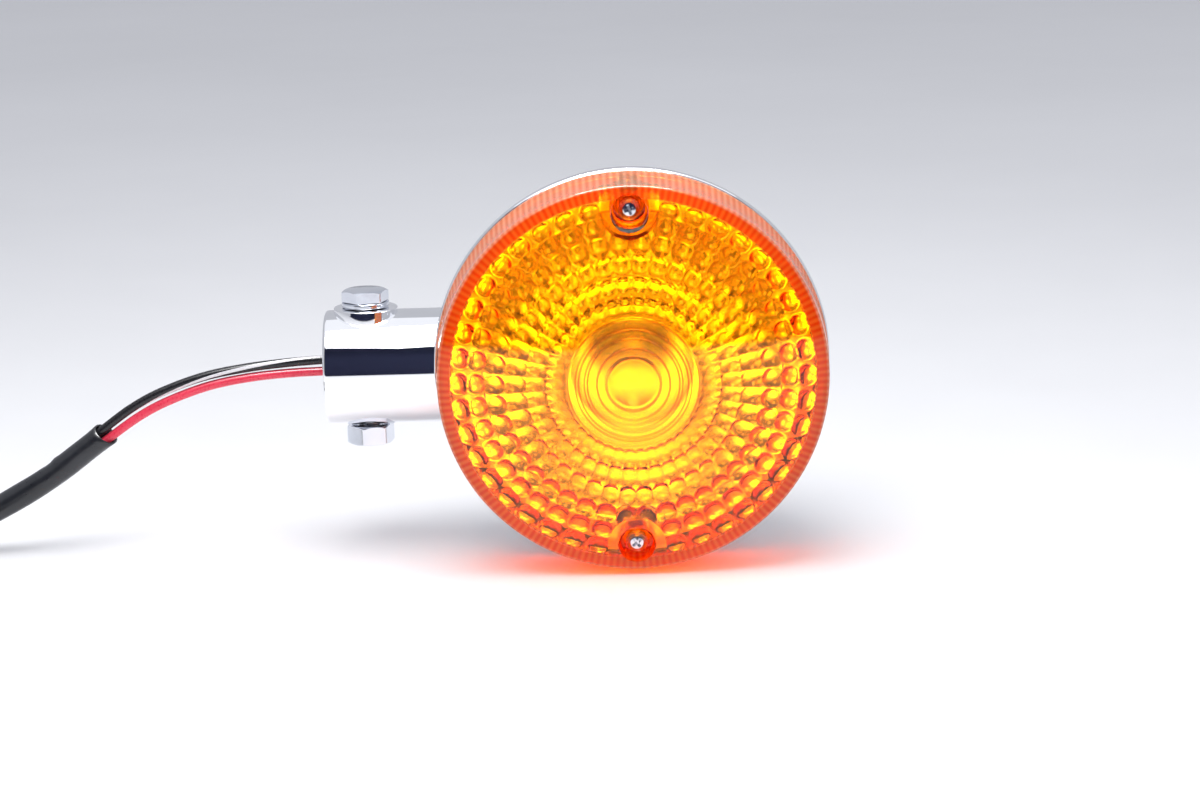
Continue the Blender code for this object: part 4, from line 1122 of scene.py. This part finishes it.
def make_clamp():
    washer_low = BOSS_FACE + GAP
    head_low = washer_low + WASHER_THICKNESS + 0.0001
    head = hexagon("bolt_head", head_low, head_low + HEAD_THICKNESS, 0.0, False, ZINC)
    stand_for(head, "clamp_bolt", "zinc_plate", "clamp_bolt")
    nut_high = SPOT_FACE - GAP
    nut_low = nut_high - NUT_THICKNESS
    shank = threaded("bolt_shank", BOLT_SHANK_R, nut_low - 0.0004, head_low - 0.00005, 0.0010, 0.00045,
                     BOLT_AXIS, ZINC, 48)
    stand_for(shank, "clamp_bolt", "zinc_plate")
    nut = hexagon("nut", nut_low, nut_high, BOLT_SHANK_R + 0.0001, True, ZINC)
    stand_for(nut, "root", "zinc_plate", "clamp_nut")

    middle_r, half_wide, half_high = 0.00445, 0.00125, WASHER_THICKNESS / 2
    points = []
    for step in range(97):
        angle = math.radians(187 + 346 * step / 96)
        points.append(on_axis(BOLT_AXIS, middle_r, angle, washer_low + half_high))
    section = rounded([(-half_wide, -half_high), (half_wide, -half_high), (half_wide, half_high),
                       (-half_wide, half_high)], 0.0002, closed=True)
    washer = sweep("spring_washer", points, section, ZINC, 40.0)
    stand_for(washer, "clamp_washer", "zinc_plate", "clamp_spring_washer")


SPRING_WIRE_R = 0.00035
SPRING_R = 0.0052
SPRING_TURNS = 2.5
SPRING_STEPS = 120


def make_contact_spring():
    """The coil spring behind the sliding contact, which in the lamp shortens as the bulb is pressed in; here
    it keeps one length.
    """
    front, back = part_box("contact_spring")[0][1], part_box("contact_spring")[1][1]
    low, high = SPRING_WIRE_R - back, -front - SPRING_WIRE_R
    points = []
    for step in range(SPRING_STEPS + 1):
        share = step / SPRING_STEPS
        angle = 2 * math.pi * SPRING_TURNS * share
        points.append(on_axis(LENS_AXIS, SPRING_R, angle, low + (high - low) * share))
    spring = sweep("contact_coil_spring", points, circle(SPRING_WIRE_R, 16), SPRING)
    stand_for(spring, "root", "spring_steel", "contact_spring")
    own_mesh(spring)


def make_grommet():
    outer = BORE_DEPTH - 0.0018
    outline = [(0, outer), (0.0062, outer), (0.0062, BORE_DEPTH - GAP), (WEB_HOLE_R - GAP, BORE_DEPTH - GAP),
               (WEB_HOLE_R - GAP, 0.0342), (0, 0.0342)]
    grommet = lathe("grommet", rounded(outline, 0.0006), STEM_AXIS, RUBBER, 80)
    stand_for(grommet, "root", "rubber", "wire_grommet")


KEPT_FINISHES = {
    "socket_plate": ZINC, "socket_rivet_left": ZINC, "socket_rivet_right": ZINC, "socket_shell": ZINC,
    "socket_insulator": PHENOLIC, "contact_plunger": PHENOLIC, "contact_button": BRASS,
    "bulb_insulator": BLACK_GLASS, "bulb_contact": SOLDER,
    "ground_terminal": BRASS, "ground_screw": ZINC, "red_wire_in_housing": RED_PVC,
    "black_wire_in_housing": BLACK_PVC,
}


def finish_kept_nodes():
    for name, material in KEPT_FINISHES.items():
        for material_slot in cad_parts[name].material_slots:
            material_slot.material = material


# ---------------------------------------------------------------- floor, cards, lights, world
def paper_material():
    look = Shading("white_paper", Metallic=0.0)
    look.shade(Base_Color=look.ramp(look.noise(3.0), (0.30, (0.86, 0.86, 0.87)), (0.70, (0.90, 0.90, 0.91))),
               Roughness=look.ramp(look.noise(40.0), (0.30, 0.55), (0.75, 0.70)))
    return look.material


def stage_sheet(name, corners, faces, material):
    """A flat or folded sheet that belongs to the studio, not to the object."""
    work = bmesh.new()
    points = [work.verts.new(corner) for corner in corners]
    for face in faces:
        work.faces.new([points[index] for index in face])
    mesh = bpy.data.meshes.new(name)
    work.to_mesh(mesh)
    work.free()
    mesh.materials.append(material)
    obj = bpy.data.objects.new(name, mesh)
    bpy.context.collection.objects.link(obj)
    return obj


def hide_from(obj, *rays):
    for ray in rays:
        setattr(obj, "visible_" + ray, False)


FLOOR_HALF = 6.0
CARD_HALF = 0.75              # half width
CARD_NEAR, CARD_FAR = -0.42, -0.60        # it lies on the floor between these and stands at the far one
CARD_TOP = 0.95
CARD_LIFT = 0.001             # off the floor
CARD_NEAR_FADE = (0.42, 0.52)             # distances in front of the lamp
CARD_TOP_FADE = (0.95, 0.70)
CARD_TINTS = ((0.3, (0.020, 0.022, 0.045)), (0.7, (0.026, 0.030, 0.058)))


def make_floor():
    half = FLOOR_HALF
    corners = [(-half, -half, FLOOR), (half, -half, FLOOR), (half, half, FLOOR), (-half, half, FLOOR)]
    stage_sheet("floor", corners, ((0, 1, 2, 3),), paper_material())


def make_dark_card():
    """A dark screen in front, seen only in glossy reflections, that fades out at its near and top edges."""
    look = Shading("dark_card", Roughness=1.0, Specular_IOR_Level=0.0)
    from_lamp = look.distance_from((0.0, 0.0, 0.0), (0.0, 1.0, 0.0))
    height = look.distance_from((0.0, 0.0, 0.0), (0.0, 0.0, 1.0))
    strength = look.compute("MULTIPLY", look.between(from_lamp, *CARD_NEAR_FADE),
                            look.between(height, *CARD_TOP_FADE))
    look.shade(Base_Color=look.ramp(look.noise(2.0), *CARD_TINTS), Alpha=strength)
    half, rest = CARD_HALF, FLOOR + CARD_LIFT
    corners = [(-half, CARD_NEAR, rest), (half, CARD_NEAR, rest), (half, CARD_FAR, rest),
               (-half, CARD_FAR, rest), (half, CARD_FAR, CARD_TOP), (-half, CARD_FAR, CARD_TOP)]
    card = stage_sheet("dark_card", corners, ((0, 1, 2, 3), (3, 2, 4, 5)), look.material)
    hide_from(card, "camera", "diffuse", "transmission", "shadow")


WHITE = (1.0, 1.0, 1.0)
LAMP = (LENS_X, 0.0, LENS_Z)
BELOW_LENS = (LENS_X, -0.20, FLOOR + 0.002)
ONLY_THROUGH_CLEAR = ("camera", "glossy", "diffuse")
LIGHTS = (   # name, place, target, size, watts, colour, the rays that don't see it
    ("overhead_softbox", (0.05, -0.02, 0.88), (0.05, -0.02, 0.0), (1.5, 1.2), 2.6, (0.97, 0.98, 1.0), ()),
    ("pool_light", (LENS_X - 0.07, -0.16, 0.46), (LENS_X - 0.05, -0.18, FLOOR), (0.45, 0.32), 2.1, WHITE,
     ("transmission",)),
    ("glint_panel", (0.05, -0.22, 0.80), LAMP, (0.50, 0.30), 12.0, WHITE, ("diffuse", "transmission")),
    ("lens_light", (0.12, -0.60, 0.52), LAMP, (0.32, 0.56), 11.0, (1.0, 0.94, 0.60), ONLY_THROUGH_CLEAR),
    ("low_lens_light", BELOW_LENS, (LENS_X, -0.20, 1.0), (0.07, 0.24), 0.5, (1.0, 0.86, 0.05),
     ONLY_THROUGH_CLEAR))
WORLD_COLOR, WORLD_STRENGTH = (0.84, 0.86, 0.93, 1.0), 0.64


def make_lights():
    for name, place, target, size, watts, color, unseen_by in LIGHTS:
        data = bpy.data.lights.new(name, "AREA")
        data.shape = "RECTANGLE"
        data.size, data.size_y = size
        data.energy = watts
        data.color = color
        light = bpy.data.objects.new(name, data)
        light.location = place
        light.rotation_euler = (Vector(target) - Vector(place)).to_track_quat("-Z", "Y").to_euler()
        bpy.context.collection.objects.link(light)
        hide_from(light, *unseen_by)
    world = bpy.data.worlds.new("studio")
    world.use_nodes = True
    background = world.node_tree.nodes["Background"]
    background.inputs["Color"].default_value = WORLD_COLOR
    background.inputs["Strength"].default_value = WORLD_STRENGTH
    bpy.context.scene.world = world
    bpy.context.scene.view_settings.view_transform = "Standard"


# ---------------------------------------------------------------- everything together
make_camera()
make_lead()
make_housing()
make_lens()
make_lens_screws()
make_gasket()
make_reflector()
make_bulb()
make_clamp()
make_contact_spring()
make_grommet()
finish_kept_nodes()
make_floor()
make_dark_card()
make_lights()
